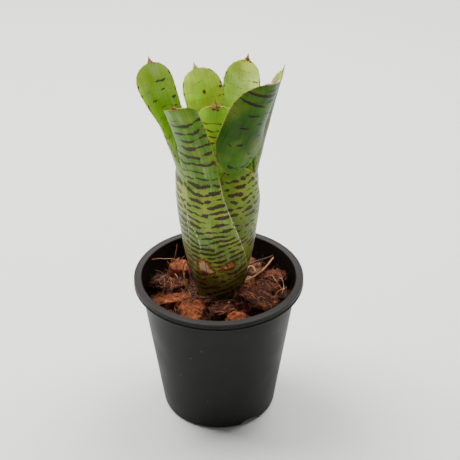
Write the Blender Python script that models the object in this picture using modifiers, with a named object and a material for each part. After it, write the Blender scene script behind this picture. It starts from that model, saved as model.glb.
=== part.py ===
"""Potted tubular bromeliad in a black nursery pot of husk chips.

Run with: blender --background --python part.py
Metres, +Z up. The origin is the middle of the pot's underside, and -Y is the front.
"""

import math
import random
from dataclasses import dataclass

import bmesh
import bpy
from mathutils import Matrix, Vector

# ---------------------------------------------------------------- pot
POT_HEIGHT = 0.109
MOUTH_RADIUS = 0.0545       # inside of the wall at the top
RIM_WIDTH = 0.0055          # from the mouth to the outside of the rim
RIM_DEPTH = 0.0056          # how far the rim's skirt hangs down
RIM_EDGE = 0.0008           # rounding of the rim's outer edges
WALL = 0.0015
BASE_RADIUS = 0.0410        # outside of the wall, run down to the ground
BASE_ROUND = 0.0030         # rounding between wall and foot
FOOT_WIDTH = 0.0070         # flat ring that the pot stands on
FLOOR_LIFT = 0.0020         # underside of the floor above the ground
FLOOR = 0.0018              # thickness of the floor
DRAIN_RADIUS = 0.0050       # hole in the middle of the floor
GROOVE_HEIGHT = 0.0018      # middle of the skirt's groove above its lower edge
GROOVE_DEPTH = 0.0003
NOTCH_COUNT = 3             # drain notches in the bottom corner
NOTCH_TURN = 33.0           # degrees from the front to the first notch
NOTCH_WIDTH = 0.0160
NOTCH_HEIGHT = 0.0046
NOTCH_REACH = 0.0100        # how far a notch reaches in from the wall
POT_STEPS = 48

# ---------------------------------------------------------------- husk
GAP = 0.0003                # between pieces that touch
HEADSPACE = 0.0235          # from the rim down to the packed husk at the wall
MOUND_RISE = 0.0035         # from there up to the middle of the husk
BED_STEPS = 40
PLANTING_DEPTH = 0.0210     # foot of the outermost sheath, below the middle of the husk
SOCKET_CLEARANCE = 0.0006   # round the buried part of the plant

# ---------------------------------------------------------------- plant
PLANT_X = 0.0
PLANT_Y = 0.0060            # the plant stands a little behind the middle
LEAF_THICKNESS = 0.0010
FOOT_RISE = 0.0035          # from the feet of one layer to those of the next
LAYER = 0.0018              # from one sheath to the next one inside it
SHEATH_ROWS = 9
SHEATH_CROWDING = 1.3       # above 1, a sheath's rows stand closer together towards its neck
BLADE_ROWS = 11
TIP_ROWS = (0.965, 0.99, 1.0)   # extra rows where the tip rounds off, as shares of the blade
TIP_FULLNESS = 2.6          # above 2, the tip is blunter than an ellipse
BLADE_TURN = 0.45           # share of the blade over which its rows tip over with its lean
LEAF_COLUMNS = 12
# Outside of the sheath of layer 1: height above the foot of the outermost sheath, and radius.
URN = ((0.000, 0.0108), (0.012, 0.0128), (0.024, 0.0153), (0.032, 0.0172), (0.040, 0.0196),
       (0.050, 0.0222), (0.062, 0.0245), (0.077, 0.0265), (0.092, 0.0282), (0.107, 0.0292),
       (0.118, 0.0292), (0.128, 0.0284), (0.138, 0.0278))


@dataclass
class Leaf:
    """One leaf: a sheath rolled round the plant's axis, and a channelled blade above it.

    Angles are in degrees, measured from the front and positive to the right. Heights are
    measured from the foot of the outermost sheath.
    """

    name: str
    azimuth: float          # where the midrib runs on the sheath
    layer: int              # 0 is the outermost sheath
    neck: float             # height at which the blade begins
    wrap_left: tuple        # half wrap of the sheath at its foot and at the neck
    wrap_right: tuple
    wrap_power: float       # below 1, the sheath opens out soon under the neck
    length: float           # of the blade, without its spine
    lean: tuple             # lean from vertical at the neck and at the tip
    heading: float          # the way the blade leans
    facing: float           # the way its back faces at the tip
    width: tuple            # midrib to left and right margin, measured round the channel
    grow: float             # share of the blade over which it widens
    taper_from: tuple       # share of the blade at which the left and right of its tip start to close
    channel: tuple          # half angle of the cross-section at the neck, the middle and the tip


LEAVES = (
    Leaf("leaf_front_left", -20, 0, 0.128, (27, 23), (128, 24), 1.30,
         0.061, (10, 24), -68, -14, (0.0160, 0.0125), 0.40, (0.80, 0.84), (34, 52, 62)),
    Leaf("leaf_front_right", 26, 1, 0.136, (60, 13), (112, 13), 0.60,
         0.073, (22, 18), 68, 40, (0.0220, 0.0160), 0.35, (0.48, 0.86), (36, 68, 66)),
    Leaf("leaf_left", -97, 1, 0.126, (83, 40), (58, 58), 0.90,
         0.075, (11, 13.5), -99, -178, (0.0125, 0.0140), 0.60, (0.80, 0.76), (40, 62, 36)),
    Leaf("leaf_right", 90, 2, 0.124, (68, 28), (66, 34), 0.90,
         0.073, (11, 14), 95, 95, (0.0125, 0.0125), 0.40, (0.35, 0.35), (36, 62, 66)),
    Leaf("leaf_back_left", -168, 2, 0.128, (34, 30), (64, 30), 0.90,
         0.055, (6, 24), -136, -160, (0.0152, 0.0155), 0.90, (0.66, 0.66), (34, 46, 36)),
    Leaf("leaf_back_right", 143, 3, 0.128, (68, 30), (70, 30), 0.90,
         0.064, (4, 12), 146, 155, (0.0142, 0.0148), 0.90, (0.66, 0.70), (34, 46, 36)),
    Leaf("leaf_centre", -3, 3, 0.130, (65, 30), (70, 30), 0.90,
         0.051, (-4, -7), 0, 0, (0.0122, 0.0122), 0.60, (0.80, 0.80), (34, 50, 50)),
    Leaf("leaf_heart", 180, 4, 0.122, (110, 50), (110, 50), 0.90,
         0.030, (0, -6), 180, 180, (0.0120, 0.0120), 0.60, (0.50, 0.50), (40, 55, 60)),
)
SPINE_LENGTH = 0.0050
SPINE_WIDTH = 0.0006        # half width where the spine leaves the blade
SPINE_ROWS = ((0.45, 0.80), (1.0, 0.45))    # share of the spine's length, and share of its width
BLADE_STEPS = 240           # steps in which a midrib is walked
STEM_CROWN = 0.0120         # stem above the feet of the innermost sheaths
STEM_CROWN_RADIUS = 0.0040
STEM_DEPTH = 0.0100         # stem below the foot of the outermost sheath
STEM_TAPER = 0.6            # radius of its cut end, as a share of its foot's
STEM_STEPS = 18


@dataclass
class Chip:
    """One chunk of coconut husk lying on the bed.

    Azimuth and place are measured from the plant: place is 0 at the plant and 1 at the wall.
    Yaw turns the chip's length away from the line to the plant, and tilt lifts its outer end.
    """

    azimuth: float
    place: float
    length: float
    width: float
    thickness: float
    yaw: float
    tilt: float
    lift: float = 0.0       # of its underside above the bed


CHIPS = (
    Chip(-25, 0.68, 0.020, 0.017, 0.013, 20, -6, 0.001),
    Chip(5, 0.40, 0.015, 0.012, 0.010, 80, 8),
    Chip(16, 0.76, 0.012, 0.013, 0.011, 10, 0, 0.002),
    Chip(48, 0.52, 0.028, 0.019, 0.013, 12, -10),
    Chip(80, 0.50, 0.014, 0.013, 0.011, 0, 0, 0.0004),
    Chip(103, 0.74, 0.014, 0.015, 0.010, 30, 8),
    Chip(138, 0.62, 0.022, 0.012, 0.006, 75, 8),
    Chip(108, 0.20, 0.010, 0.007, 0.006, 60, 6),
    Chip(-19, 0.11, 0.019, 0.005, 0.004, 88, 4, 0.002),
    Chip(-58, 0.58, 0.026, 0.010, 0.009, -10, 4),
    Chip(-86, 0.42, 0.017, 0.011, 0.009, 25, 5),
    Chip(-124, 0.60, 0.014, 0.013, 0.010, 40, 8),
    Chip(-101, 0.80, 0.013, 0.011, 0.008, 70, 0),
    Chip(-161, 0.52, 0.014, 0.013, 0.009, 80, 0),
    Chip(168, 0.50, 0.016, 0.012, 0.010, 20, 0),
    Chip(76, 0.86, 0.012, 0.007, 0.008, 85, 0),
    Chip(-45, 0.86, 0.011, 0.008, 0.008, 84, 0),
)
CHIP_JITTER = 0.14          # unevenness of a chip, as a share of its size
CHIP_ROUNDING = 0.14        # how far its corners are worn back
CHIP_WEDGE = 0.30           # how much narrower and thinner its outer end is
CHIP_SEED = 5


def smooth(t):
    """Smooth step from 0 to 1."""
    t = min(1.0, max(0.0, t))
    return t * t * (3 - 2 * t)


def mix(a, b, t):
    return a + (b - a) * t


def table(points, x):
    """Smooth curve through (x, value) points, held flat past its ends."""
    if x <= points[0][0]:
        return points[0][1]
    for i in range(len(points) - 1):
        (x0, y0), (x1, y1) = points[i], points[i + 1]
        if x <= x1:
            before = points[max(0, i - 1)]
            after = points[min(len(points) - 1, i + 2)]
            slope0 = (y1 - before[1]) / (x1 - before[0])
            slope1 = (after[1] - y0) / (after[0] - x0)
            span, t = x1 - x0, (x - x0) / (x1 - x0)
            return (y0 * (1 + 2 * t) * (1 - t) ** 2 + slope0 * span * t * (1 - t) ** 2
                    + y1 * t * t * (3 - 2 * t) + slope1 * span * t * t * (t - 1))
    return points[-1][1]


def outward(degrees):
    """Horizontal unit vector at an azimuth."""
    a = math.radians(degrees)
    return Vector((math.sin(a), -math.cos(a), 0.0))


def sheath_radius(layer, z):
    """Mid-wall radius of a layer of sheaths at a height."""
    return table(URN, z) - LEAF_THICKNESS / 2 - (layer - 1) * LAYER


def blade_half_width(neck, width, grow, taper_from, t):
    """Midrib to one margin of the blade at share t of its length, rounded off at the tip."""
    grown = mix(neck, width, 1 - (1 - min(1.0, t / grow)) ** 2)
    closing = max(0.0, t - taper_from) / (1 - taper_from)
    return max(SPINE_WIDTH, grown * math.sqrt(1 - closing ** TIP_FULLNESS))


def channel_angle(leaf, t):
    """Half angle of the blade's cross-section at share t of its length."""
    first, middle, last = leaf.channel
    if t < 0.5:
        return math.radians(mix(first, middle, smooth(t * 2)))
    return math.radians(mix(middle, last, smooth(t * 2 - 1)))


def sheath_foot(layer):
    """Height at which the sheaths of a layer leave the stem, above the outermost one's."""
    return layer * FOOT_RISE


def leaf_rows(leaf, sheath_rows, blade_rows):
    """Rows of (midrib point, inward normal, sideways vector, radius, left angle, right angle)."""
    up = Vector((0.0, 0.0, 1.0))
    rows = []
    out = outward(leaf.azimuth)
    side = up.cross(out)
    for i in range(sheath_rows):
        t = 1 - (1 - i / sheath_rows) ** SHEATH_CROWDING
        z = mix(sheath_foot(leaf.layer), leaf.neck, t)
        radius = sheath_radius(leaf.layer, z)
        left, right = (math.radians(mix(wrap[1], wrap[0], (1 - t) ** leaf.wrap_power))
                       for wrap in (leaf.wrap_left, leaf.wrap_right))
        rows.append((out * radius + up * z, -out, side, radius, left, right))
    # The blade starts where the sheath stops, and its midrib is walked in small steps.
    neck_radius = sheath_radius(leaf.layer, leaf.neck)
    necks = math.radians(leaf.wrap_left[1]), math.radians(leaf.wrap_right[1])
    point = out * neck_radius + up * leaf.neck
    heading = outward(leaf.heading)
    wanted = [i / blade_rows for i in range(blade_rows)] + list(TIP_ROWS)
    taken = 0
    for step in range(BLADE_STEPS + 1):
        t = step / BLADE_STEPS
        lean = math.radians(mix(leaf.lean[0], leaf.lean[1], t))
        tangent = heading * math.sin(lean) + up * math.cos(lean)
        if t >= wanted[taken] - 1e-9:
            upright = up.lerp(tangent, smooth(t / BLADE_TURN)).normalized()
            across = up.cross(outward(mix(leaf.azimuth, leaf.facing, smooth(t))))
            inward = upright.cross(across).normalized()
            sideways = inward.cross(upright)
            channel_radius = sum(leaf.width) / 2 / channel_angle(leaf, t)
            radius = mix(neck_radius, channel_radius, smooth(t * 2))
            left, right = (blade_half_width(neck_radius * neck, width, leaf.grow, taper, t) / radius
                           for neck, width, taper in zip(necks, leaf.width, leaf.taper_from))
            rows.append((point.copy(), inward, sideways, radius, left, right))
            taken += 1
        point += tangent * (leaf.length / BLADE_STEPS)
    # The spine carries on along the tip.
    for share, width in SPINE_ROWS:
        half = SPINE_WIDTH * width / radius
        rows.append((point + tangent * (SPINE_LENGTH * share), inward, sideways, radius, half, half))
    return rows


def leaf_point(row, across):
    """Point of a row; across runs from -1 at the left margin to 1 at the right one."""
    middle, inward, sideways, radius, left, right = row
    angle = across * (right if across > 0 else left)
    return middle + inward * (radius * (1 - math.cos(angle))) + sideways * (radius * math.sin(angle))


def material(name, colour, roughness, metallic=0.0):
    made = bpy.data.materials.new(name)
    made.use_nodes = True
    shader = made.node_tree.nodes["Principled BSDF"]
    shader.inputs["Base Color"].default_value = (*colour, 1.0)
    shader.inputs["Roughness"].default_value = roughness
    shader.inputs["Metallic"].default_value = metallic
    made.diffuse_color = (*colour, 1.0)
    return made


def add_object(name, mesh, collection, look=None):
    obj = bpy.data.objects.new(name, mesh)
    collection.objects.link(obj)
    if look:
        mesh.materials.append(look)
    return obj


def helper(obj):
    """Marks a cutter: seen as wires, and never rendered."""
    obj.hide_render = True
    obj.display_type = "WIRE"
    return obj


def screw(obj, steps):
    """Turns a profile in the XZ plane round Z."""
    turn = obj.modifiers.new("turn", "SCREW")
    turn.steps = turn.render_steps = steps
    turn.use_merge_vertices = True
    turn.merge_threshold = 0.00001
    turn.use_smooth_shade = True
    return turn


def profile_mesh(name, points):
    """Open line of (radius, height) points."""
    mesh = bpy.data.meshes.new(name)
    edges = [(i, i + 1) for i in range(len(points) - 1)]
    mesh.from_pydata([(r, 0.0, z) for r, z in points], edges, [])
    return mesh


def arc(centre_r, centre_z, radius, start, end, steps):
    """Points of a rounded corner, in (radius, height)."""
    return [(centre_r + radius * math.cos(math.radians(mix(start, end, i / steps))),
             centre_z + radius * math.sin(math.radians(mix(start, end, i / steps))))
            for i in range(steps + 1)]


def rim_radius():
    """Outside of the rim."""
    return MOUTH_RADIUS + RIM_WIDTH


def wall_radius(z):
    """Outside of the pot's wall at a height."""
    return mix(BASE_RADIUS, MOUTH_RADIUS + WALL, z / POT_HEIGHT)


def make_pot(collection, cutters):
    """Turned pot with a flat rim and skirt, a foot ring, a drain hole and corner notches."""
    rim = rim_radius()
    skirt_low = POT_HEIGHT - RIM_DEPTH
    under_rim = POT_HEIGHT - WALL
    profile = [(MOUTH_RADIUS, POT_HEIGHT - RIM_EDGE), (MOUTH_RADIUS + RIM_EDGE, POT_HEIGHT)]
    profile += arc(rim - RIM_EDGE, POT_HEIGHT - RIM_EDGE, RIM_EDGE, 90, 0, 3)
    # A shallow groove runs round the skirt above its bottom bead.
    profile += [(rim - GROOVE_DEPTH, skirt_low + GROOVE_HEIGHT), (rim, skirt_low + RIM_EDGE),
                (rim - RIM_EDGE / 2, skirt_low), (rim - WALL, skirt_low),
                (rim - WALL, under_rim), (wall_radius(under_rim), under_rim)]
    profile += arc(wall_radius(BASE_ROUND) - BASE_ROUND, BASE_ROUND, BASE_ROUND, 0, -90, 4)
    foot = wall_radius(BASE_ROUND) - BASE_ROUND - FOOT_WIDTH
    floor = FLOOR_LIFT + FLOOR
    profile += [(foot, 0.0), (foot - FLOOR_LIFT / 2, FLOOR_LIFT), (DRAIN_RADIUS, FLOOR_LIFT),
                (DRAIN_RADIUS, floor)]
    corner = floor + BASE_ROUND
    profile += arc(wall_radius(corner) - WALL - BASE_ROUND, corner, BASE_ROUND, -90, 0, 3)
    profile.append(profile[0])
    pot = add_object("pot", profile_mesh("pot", profile), collection,
                     material("black_polypropylene", (0.018, 0.019, 0.021), 0.48))
    screw(pot, POT_STEPS)
    for i in range(NOTCH_COUNT):
        mesh = bpy.data.meshes.new("notch_cutter")
        shape = bmesh.new()
        bmesh.ops.create_cone(shape, cap_ends=True, segments=20, radius1=NOTCH_WIDTH / 2,
                              radius2=NOTCH_WIDTH / 2, depth=NOTCH_REACH * 2)
        shape.to_mesh(mesh)
        shape.free()
        # A flattened drum lying along the radius leaves a low arch.
        lie_down = Matrix.Rotation(math.radians(90), 4, "X")
        mesh.transform(Matrix.Diagonal((1, 1, NOTCH_HEIGHT / (NOTCH_WIDTH / 2), 1)) @ lie_down)
        cutter = helper(add_object(f"notch_cutter_{i + 1}", mesh, cutters))
        turn = NOTCH_TURN + i * 360 / NOTCH_COUNT
        cutter.location = outward(turn) * wall_radius(0)
        cutter.rotation_euler.z = math.radians(turn)
        cut = pot.modifiers.new(f"notch_{i + 1}", "BOOLEAN")
        cut.object = cutter
        cut.operation = "DIFFERENCE"
    return pot


def bed_edge():
    """Height of the packed husk at the wall."""
    return POT_HEIGHT - HEADSPACE


def bed_height(distance):
    """Top of the packed husk at a distance from the pot's axis."""
    return bed_edge() + MOUND_RISE * (1 - distance / wall_radius(bed_edge()))


def plant_origin():
    """Point on the plant's axis, at the foot of the outermost sheath."""
    return Vector((PLANT_X, PLANT_Y, bed_height(0) - PLANTING_DEPTH))


def socket_radius(height):
    """Inside of the bed's socket at a height above the foot of the outermost sheath."""
    return sheath_radius(0, height) + LEAF_THICKNESS / 2 + SOCKET_CLEARANCE


def make_bed(collection, cutters):
    """Packed husk below the loose chips, with a socket for the buried part of the plant."""
    low = FLOOR_LIFT + FLOOR + 2 * GAP
    clear = WALL + 2 * GAP
    profile = [(0.0, bed_height(0)), (wall_radius(bed_edge()) - clear, bed_edge())]
    corner = low + BASE_ROUND
    profile += arc(wall_radius(corner) - clear - BASE_ROUND, corner, BASE_ROUND, 0, -90, 3)
    profile.append((0.0, low))
    bed = add_object("husk_bed", profile_mesh("husk_bed", profile), collection,
                     material("packed_husk", (0.055, 0.026, 0.014), 0.95))
    screw(bed, BED_STEPS)
    top = PLANTING_DEPTH + SOCKET_CLEARANCE
    outline = [(0.0, top)] + [(socket_radius(z), z) for z in (top * i / 4 for i in (4, 3, 2, 1, 0))]
    outline += [(outline[-1][0], -STEM_DEPTH - 2 * GAP), (0.0, -STEM_DEPTH - 2 * GAP)]
    cutter = helper(add_object("socket_cutter", profile_mesh("socket_cutter", outline), cutters))
    screw(cutter, BED_STEPS)
    cutter.location = plant_origin()
    cut = bed.modifiers.new("socket", "BOOLEAN")
    cut.object = cutter
    cut.operation = "DIFFERENCE"
    return bed


def make_stem(collection):
    """Short stem with a step for the foot of each layer of sheaths."""
    layers = sorted({leaf.layer for leaf in LEAVES}, reverse=True)
    top = sheath_foot(layers[0]) + STEM_CROWN
    profile = [(0.0, top), (STEM_CROWN_RADIUS, top)]
    for layer in layers:
        seat = sheath_foot(layer) - GAP
        radius = sheath_radius(layer, sheath_foot(layer))
        inside = radius - LEAF_THICKNESS / 2 - GAP
        profile += [(inside, seat + LAYER), (inside, seat), (radius + LEAF_THICKNESS / 2, seat)]
    foot = profile[-1][0]
    profile += [(foot, -STEM_DEPTH / 2), (foot * STEM_TAPER, -STEM_DEPTH), (0.0, -STEM_DEPTH)]
    stem = add_object("stem", profile_mesh("stem", profile), collection,
                      material("stem_tissue", (0.42, 0.36, 0.20), 0.70))
    screw(stem, STEM_STEPS)
    stem.location = plant_origin()
    return stem


def to_wall(azimuth, z):
    """Distance from the plant's axis to the inside of the wall, at an azimuth and a height."""
    out = outward(azimuth)
    along = PLANT_X * out.x + PLANT_Y * out.y
    inside = wall_radius(z) - WALL
    return -along + math.sqrt(along ** 2 + inside ** 2 - PLANT_X ** 2 - PLANT_Y ** 2)


def make_chip(number, chip, collection, look):
    """Uneven chunk: a block with jittered corners, edges and faces, thinner at its outer end."""
    chance = random.Random(CHIP_SEED + number)
    shape = bmesh.new()
    bmesh.ops.create_cube(shape, size=1.0)
    bmesh.ops.subdivide_edges(shape, edges=shape.edges[:], cuts=1, use_grid_fill=True)
    for vert in shape.verts:
        corner = all(vert.co)
        for i in range(3):
            wedge = CHIP_WEDGE * vert.co.x if i else 0.0
            shrink = CHIP_ROUNDING if corner else 0.0
            vert.co[i] *= 1 + chance.uniform(-CHIP_JITTER, CHIP_JITTER) - wedge - shrink
    mesh = bpy.data.meshes.new("husk_chip")
    shape.to_mesh(mesh)
    shape.free()
    mesh.transform(Matrix.Diagonal((chip.length, chip.width, chip.thickness, 1.0)))
    obj = add_object(f"husk_chip_{number:02d}", mesh, collection, look)
    distance = mix(socket_radius(PLANTING_DEPTH), to_wall(chip.azimuth, bed_height(0)), chip.place)
    place = Vector((PLANT_X, PLANT_Y, 0.0)) + outward(chip.azimuth) * distance
    # The end nearer to the pot's axis is the one that meets the mound first.
    ground = bed_height(max(0.0, place.length - chip.length / 2))
    dip = chip.length / 2 * math.sin(math.radians(abs(chip.tilt)))
    place.z = ground + GAP + chip.thickness / 2 * (1 + CHIP_JITTER) + dip + chip.lift
    obj.location = place
    obj.rotation_euler = (0.0, -math.radians(chip.tilt), math.radians(chip.azimuth - 90 + chip.yaw))
    return obj


def make_leaf(leaf, collection, look):
    """Open sheet lofted through the leaf's rows, given its thickness by Solidify."""
    rows = leaf_rows(leaf, SHEATH_ROWS, BLADE_ROWS)
    shape = bmesh.new()
    grid = [[shape.verts.new(leaf_point(row, 2 * c / LEAF_COLUMNS - 1)) for c in range(LEAF_COLUMNS + 1)]
            for row in rows]
    for lower, upper in zip(grid, grid[1:]):
        for c in range(LEAF_COLUMNS):
            shape.faces.new((lower[c], lower[c + 1], upper[c + 1], upper[c]))
    mesh = bpy.data.meshes.new(leaf.name)
    shape.to_mesh(mesh)
    shape.free()
    mesh.shade_smooth()
    obj = add_object(leaf.name, mesh, collection, look)
    wall = obj.modifiers.new("thickness", "SOLIDIFY")
    wall.thickness = LEAF_THICKNESS
    wall.offset = 0.0
    wall.use_even_offset = False
    obj.location = plant_origin()
    return obj


def main():
    for obj in list(bpy.data.objects):
        bpy.data.objects.remove(obj)
    parts = bpy.data.collections.new("potted_bromeliad")
    cutters = bpy.data.collections.new("cutters")
    bpy.context.scene.collection.children.link(parts)
    bpy.context.scene.collection.children.link(cutters)
    make_pot(parts, cutters)
    make_bed(parts, cutters)
    make_stem(parts)
    green = material("leaf_green", (0.16, 0.30, 0.06), 0.40)
    for leaf in LEAVES:
        make_leaf(leaf, parts, green)
    husk = material("coconut_husk", (0.25, 0.09, 0.03), 0.90)
    for number, chip in enumerate(CHIPS, 1):
        make_chip(number, chip, parts, husk)


main()
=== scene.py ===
"""Visible model of a potted tubular bromeliad: leaves, husk, pot, floor, light and view.

Metres, +Z up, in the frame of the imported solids: the origin is the middle of the pot's
underside and -Y is the front. Each class builds one kind of piece, and main() builds them all.
"""

import logging
import math
from collections.abc import Callable
from dataclasses import dataclass, field
from enum import Enum
from functools import partial

import bmesh
import bpy
import numpy as np
from mathutils import Matrix, Vector, noise


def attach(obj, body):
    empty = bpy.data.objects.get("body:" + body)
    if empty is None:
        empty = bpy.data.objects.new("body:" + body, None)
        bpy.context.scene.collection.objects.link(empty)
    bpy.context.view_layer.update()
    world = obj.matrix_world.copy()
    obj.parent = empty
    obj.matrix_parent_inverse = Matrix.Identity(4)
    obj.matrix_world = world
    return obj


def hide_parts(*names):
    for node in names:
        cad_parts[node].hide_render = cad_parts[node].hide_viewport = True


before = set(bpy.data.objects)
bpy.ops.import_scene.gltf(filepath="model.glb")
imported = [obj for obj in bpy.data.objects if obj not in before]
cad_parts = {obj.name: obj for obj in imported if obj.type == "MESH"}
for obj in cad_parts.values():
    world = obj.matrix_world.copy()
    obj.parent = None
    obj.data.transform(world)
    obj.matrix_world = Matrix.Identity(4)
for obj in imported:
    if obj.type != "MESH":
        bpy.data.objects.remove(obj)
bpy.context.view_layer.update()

log = logging.getLogger("bromeliad")
MM = 0.001
UP = Vector((0.0, 0.0, 1.0))
NODE_FAMILIES = ("ShaderNode", "GeometryNode", "FunctionNode")


class Slot(Enum):
    """The record's material slots."""

    POT = "pot"
    HUSK_BED = "husk_bed"
    STEM = "stem"
    LEAF = "leaf"
    HUSK_CHIP = "husk_chip"


class MarkKind(Enum):
    """What a blemish, a patch of pigment or a painted highlight on a leaf is."""

    PIGMENT = "mark"
    SCAR = "scar"
    # A painted highlight: white streaks standing in for glints of light on a sheath.
    LIME = "lime"


# ---------------------------------------------------------------- small helpers
def srgb(colour: str) -> tuple[float, float, float, float]:
    """Linear RGBA of an sRGB colour written as six hex digits."""
    parts = [int(colour[i:i + 2], 16) / 255 for i in (0, 2, 4)]
    linear = [p / 12.92 if p <= 0.04045 else ((p + 0.055) / 1.055) ** 2.4 for p in parts]
    return (*linear, 1.0)


def smooth(t: float) -> float:
    """Smooth step from 0 to 1."""
    t = min(1.0, max(0.0, t))
    return t * t * (3 - 2 * t)


def mix(a: float, b: float, t: float) -> float:
    """Value at share t of the way from a to b."""
    return a + (b - a) * t


def outward(degrees: float) -> Vector:
    """Horizontal unit vector at an azimuth, 0 at the front and positive to the right."""
    a = math.radians(degrees)
    return Vector((math.sin(a), -math.cos(a), 0.0))


def curve_through(points: tuple, x: float) -> float:
    """Smooth curve through (x, value) points, held flat past its ends.

    Args:
        points: pairs in order of x.
        x: where the curve is read.
    Returns:
        The value there.
    """
    if x <= points[0][0]:
        return points[0][1]
    for i in range(len(points) - 1):
        (x0, y0), (x1, y1) = points[i], points[i + 1]
        if x <= x1:
            before = points[max(0, i - 1)]
            after = points[min(len(points) - 1, i + 2)]
            slope0 = (y1 - before[1]) / (x1 - before[0])
            slope1 = (after[1] - y0) / (after[0] - x0)
            span, t = x1 - x0, (x - x0) / (x1 - x0)
            return (y0 * (1 + 2 * t) * (1 - t) ** 2 + slope0 * span * t * (1 - t) ** 2
                    + y1 * t * t * (3 - 2 * t) + slope1 * span * t * t * (t - 1))
    return points[-1][1]


def fractal(point: Vector, scale_mm: float, octaves: int) -> float:
    """Smooth noise from about -1 to 1.

    Args:
        point: where it is read, in metres.
        scale_mm: size of the largest lumps.
        octaves: how many times finer lumps are added.
    Returns:
        The noise there.
    """
    total, share, place = 0.0, 1.0, point / (scale_mm * MM)
    for _ in range(octaves):
        total += noise.noise(place) * share
        place, share = place * 2.03, share * 0.5
    return total


def add_node(tree: bpy.types.NodeTree, kind: str | bpy.types.Node, inputs: dict | tuple = (),
             stops: tuple = (), **settings) -> bpy.types.Node:
    """Adds a node, or takes one that is there, and gives it its settings and links.

    Args:
        tree: the node tree that it goes in.
        kind: the node's type name without its family, or the node.
        inputs: value, sRGB hex colour, socket or node for each input, by name or index, or for the
            first few inputs in order. A node gives its first live output.
        stops: (position, sRGB hex colour) pairs of a colour ramp.
        settings: the node's own properties.
    Returns:
        The node.
    """
    node = kind
    if isinstance(kind, str):
        family = next(f for f in NODE_FAMILIES if hasattr(bpy.types, f + kind))
        node = tree.nodes.new(family + kind)
    for name, value in settings.items():
        setattr(node, name, value)
    live = [s for s in node.inputs if s.enabled]
    for key, value in inputs.items() if isinstance(inputs, dict) else enumerate(inputs):
        socket = live[key] if isinstance(key, int) else next(s for s in live if s.name == key)
        if isinstance(value, bpy.types.Node):
            value = next(s for s in value.outputs if s.enabled)
        if isinstance(value, bpy.types.NodeSocket):
            tree.links.new(value, socket)
        else:
            socket.default_value = srgb(value) if socket.type == "RGBA" else value
    for _ in stops[2:]:
        node.color_ramp.elements.new(0.5)
    for i, (position, colour) in enumerate(stops):
        node.color_ramp.elements[i].color = srgb(colour)
        node.color_ramp.elements[i].position = position
    return node


def new_material(name: str) -> tuple[bpy.types.Material, Callable, bpy.types.Node]:
    """Empty material with a Principled shader.

    Args:
        name: the real material's name.
    Returns:
        The material, add_node for its tree, and its shader node.
    """
    made = bpy.data.materials.new(name)
    made.use_nodes = True
    return made, partial(add_node, made.node_tree), made.node_tree.nodes["Principled BSDF"]


def new_tree(name: str, kind: str, inputs: dict, outputs: dict) -> tuple:
    """Node group with named inputs and outputs.

    Args:
        name: the group's name.
        kind: "Geometry" or "Shader".
        inputs: type of each input's socket, such as "Float", by name.
        outputs: the same for each output.
    Returns:
        The tree, add_node for it, its inputs' sockets and its output node.
    """
    tree = bpy.data.node_groups.new(name, kind + "NodeTree")
    for way, sockets in (("INPUT", inputs), ("OUTPUT", outputs)):
        for socket, socket_type in sockets.items():
            tree.interface.new_socket(socket, in_out=way, socket_type="NodeSocket" + socket_type)
    given = tree.nodes.new("NodeGroupInput")
    return tree, partial(add_node, tree), given.outputs, tree.nodes.new("NodeGroupOutput")


def new_geometry_tree(name: str, *sizes: str) -> tuple:
    """Geometry Nodes group with inputs for geometry, named sizes, a seed and a material.

    Args:
        name: the group's name.
        sizes: name of each size.
    Returns:
        The tree, add_node for it, its inputs' sockets and its output node.
    """
    inputs = {"Geometry": "Geometry", **dict.fromkeys(sizes, "Float"), "Seed": "Int",
              "Material": "Material"}
    return new_tree(name, "Geometry", inputs, {"Geometry": "Geometry"})


def add_object(name: str, mesh: bpy.types.Mesh) -> bpy.types.Object:
    """Object with that mesh, in the scene."""
    obj = bpy.data.objects.new(name, mesh)
    bpy.context.scene.collection.objects.link(obj)
    return obj


def baked(obj: bpy.types.Object, name: str) -> bpy.types.Object:
    """Plain-mesh object of what an object's modifiers make.

    Args:
        obj: the object; it is removed.
        name: name of the result.
    Returns:
        The new object.
    """
    bpy.context.view_layer.update()
    graph = bpy.context.evaluated_depsgraph_get()
    mesh = bpy.data.meshes.new_from_object(obj.evaluated_get(graph), depsgraph=graph)
    mesh.name = name
    bpy.data.objects.remove(obj)
    return add_object(name, mesh)


def run_tree(tree: bpy.types.NodeTree, obj: bpy.types.Object, name: str,
             values: dict) -> bpy.types.Object:
    """Runs a Geometry Nodes tree once on an object and keeps the plain mesh.

    Args:
        tree: the tree.
        obj: what it works on; it is removed.
        name: name of the result.
        values: value of each of the tree's inputs, by name.
    Returns:
        The new object.
    """
    modifier = obj.modifiers.new("nodes", "NODES")
    modifier.node_group = tree
    sockets = {item.name: item.identifier for item in tree.interface.items_tree
               if item.item_type == "SOCKET" and item.in_out == "INPUT"}
    for key, value in values.items():
        modifier[sockets[key]] = value
    return baked(obj, name)


def keep_values(mesh: bpy.types.Mesh, name: str, values: np.ndarray) -> None:
    """Stores a value for each point of a mesh.

    Args:
        mesh: the mesh.
        name: the attribute's name.
        values: one number, or a row of three, for each point.
    """
    kind, field_name = ("FLOAT", "value") if values.ndim == 1 else ("FLOAT_VECTOR", "vector")
    made = mesh.attributes.new(name, kind, "POINT")
    made.data.foreach_set(field_name, values.astype(np.float32).ravel())


def face_outward(mesh: bpy.types.Mesh) -> None:
    """Turns a closed mesh's faces outward.

    Args:
        mesh: the mesh, whose faces all point the same way.
    """
    shape = bmesh.new()
    shape.from_mesh(mesh)
    if shape.calc_volume(signed=True) < 0:
        bmesh.ops.reverse_faces(shape, faces=shape.faces)
    shape.to_mesh(mesh)
    shape.free()


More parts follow.
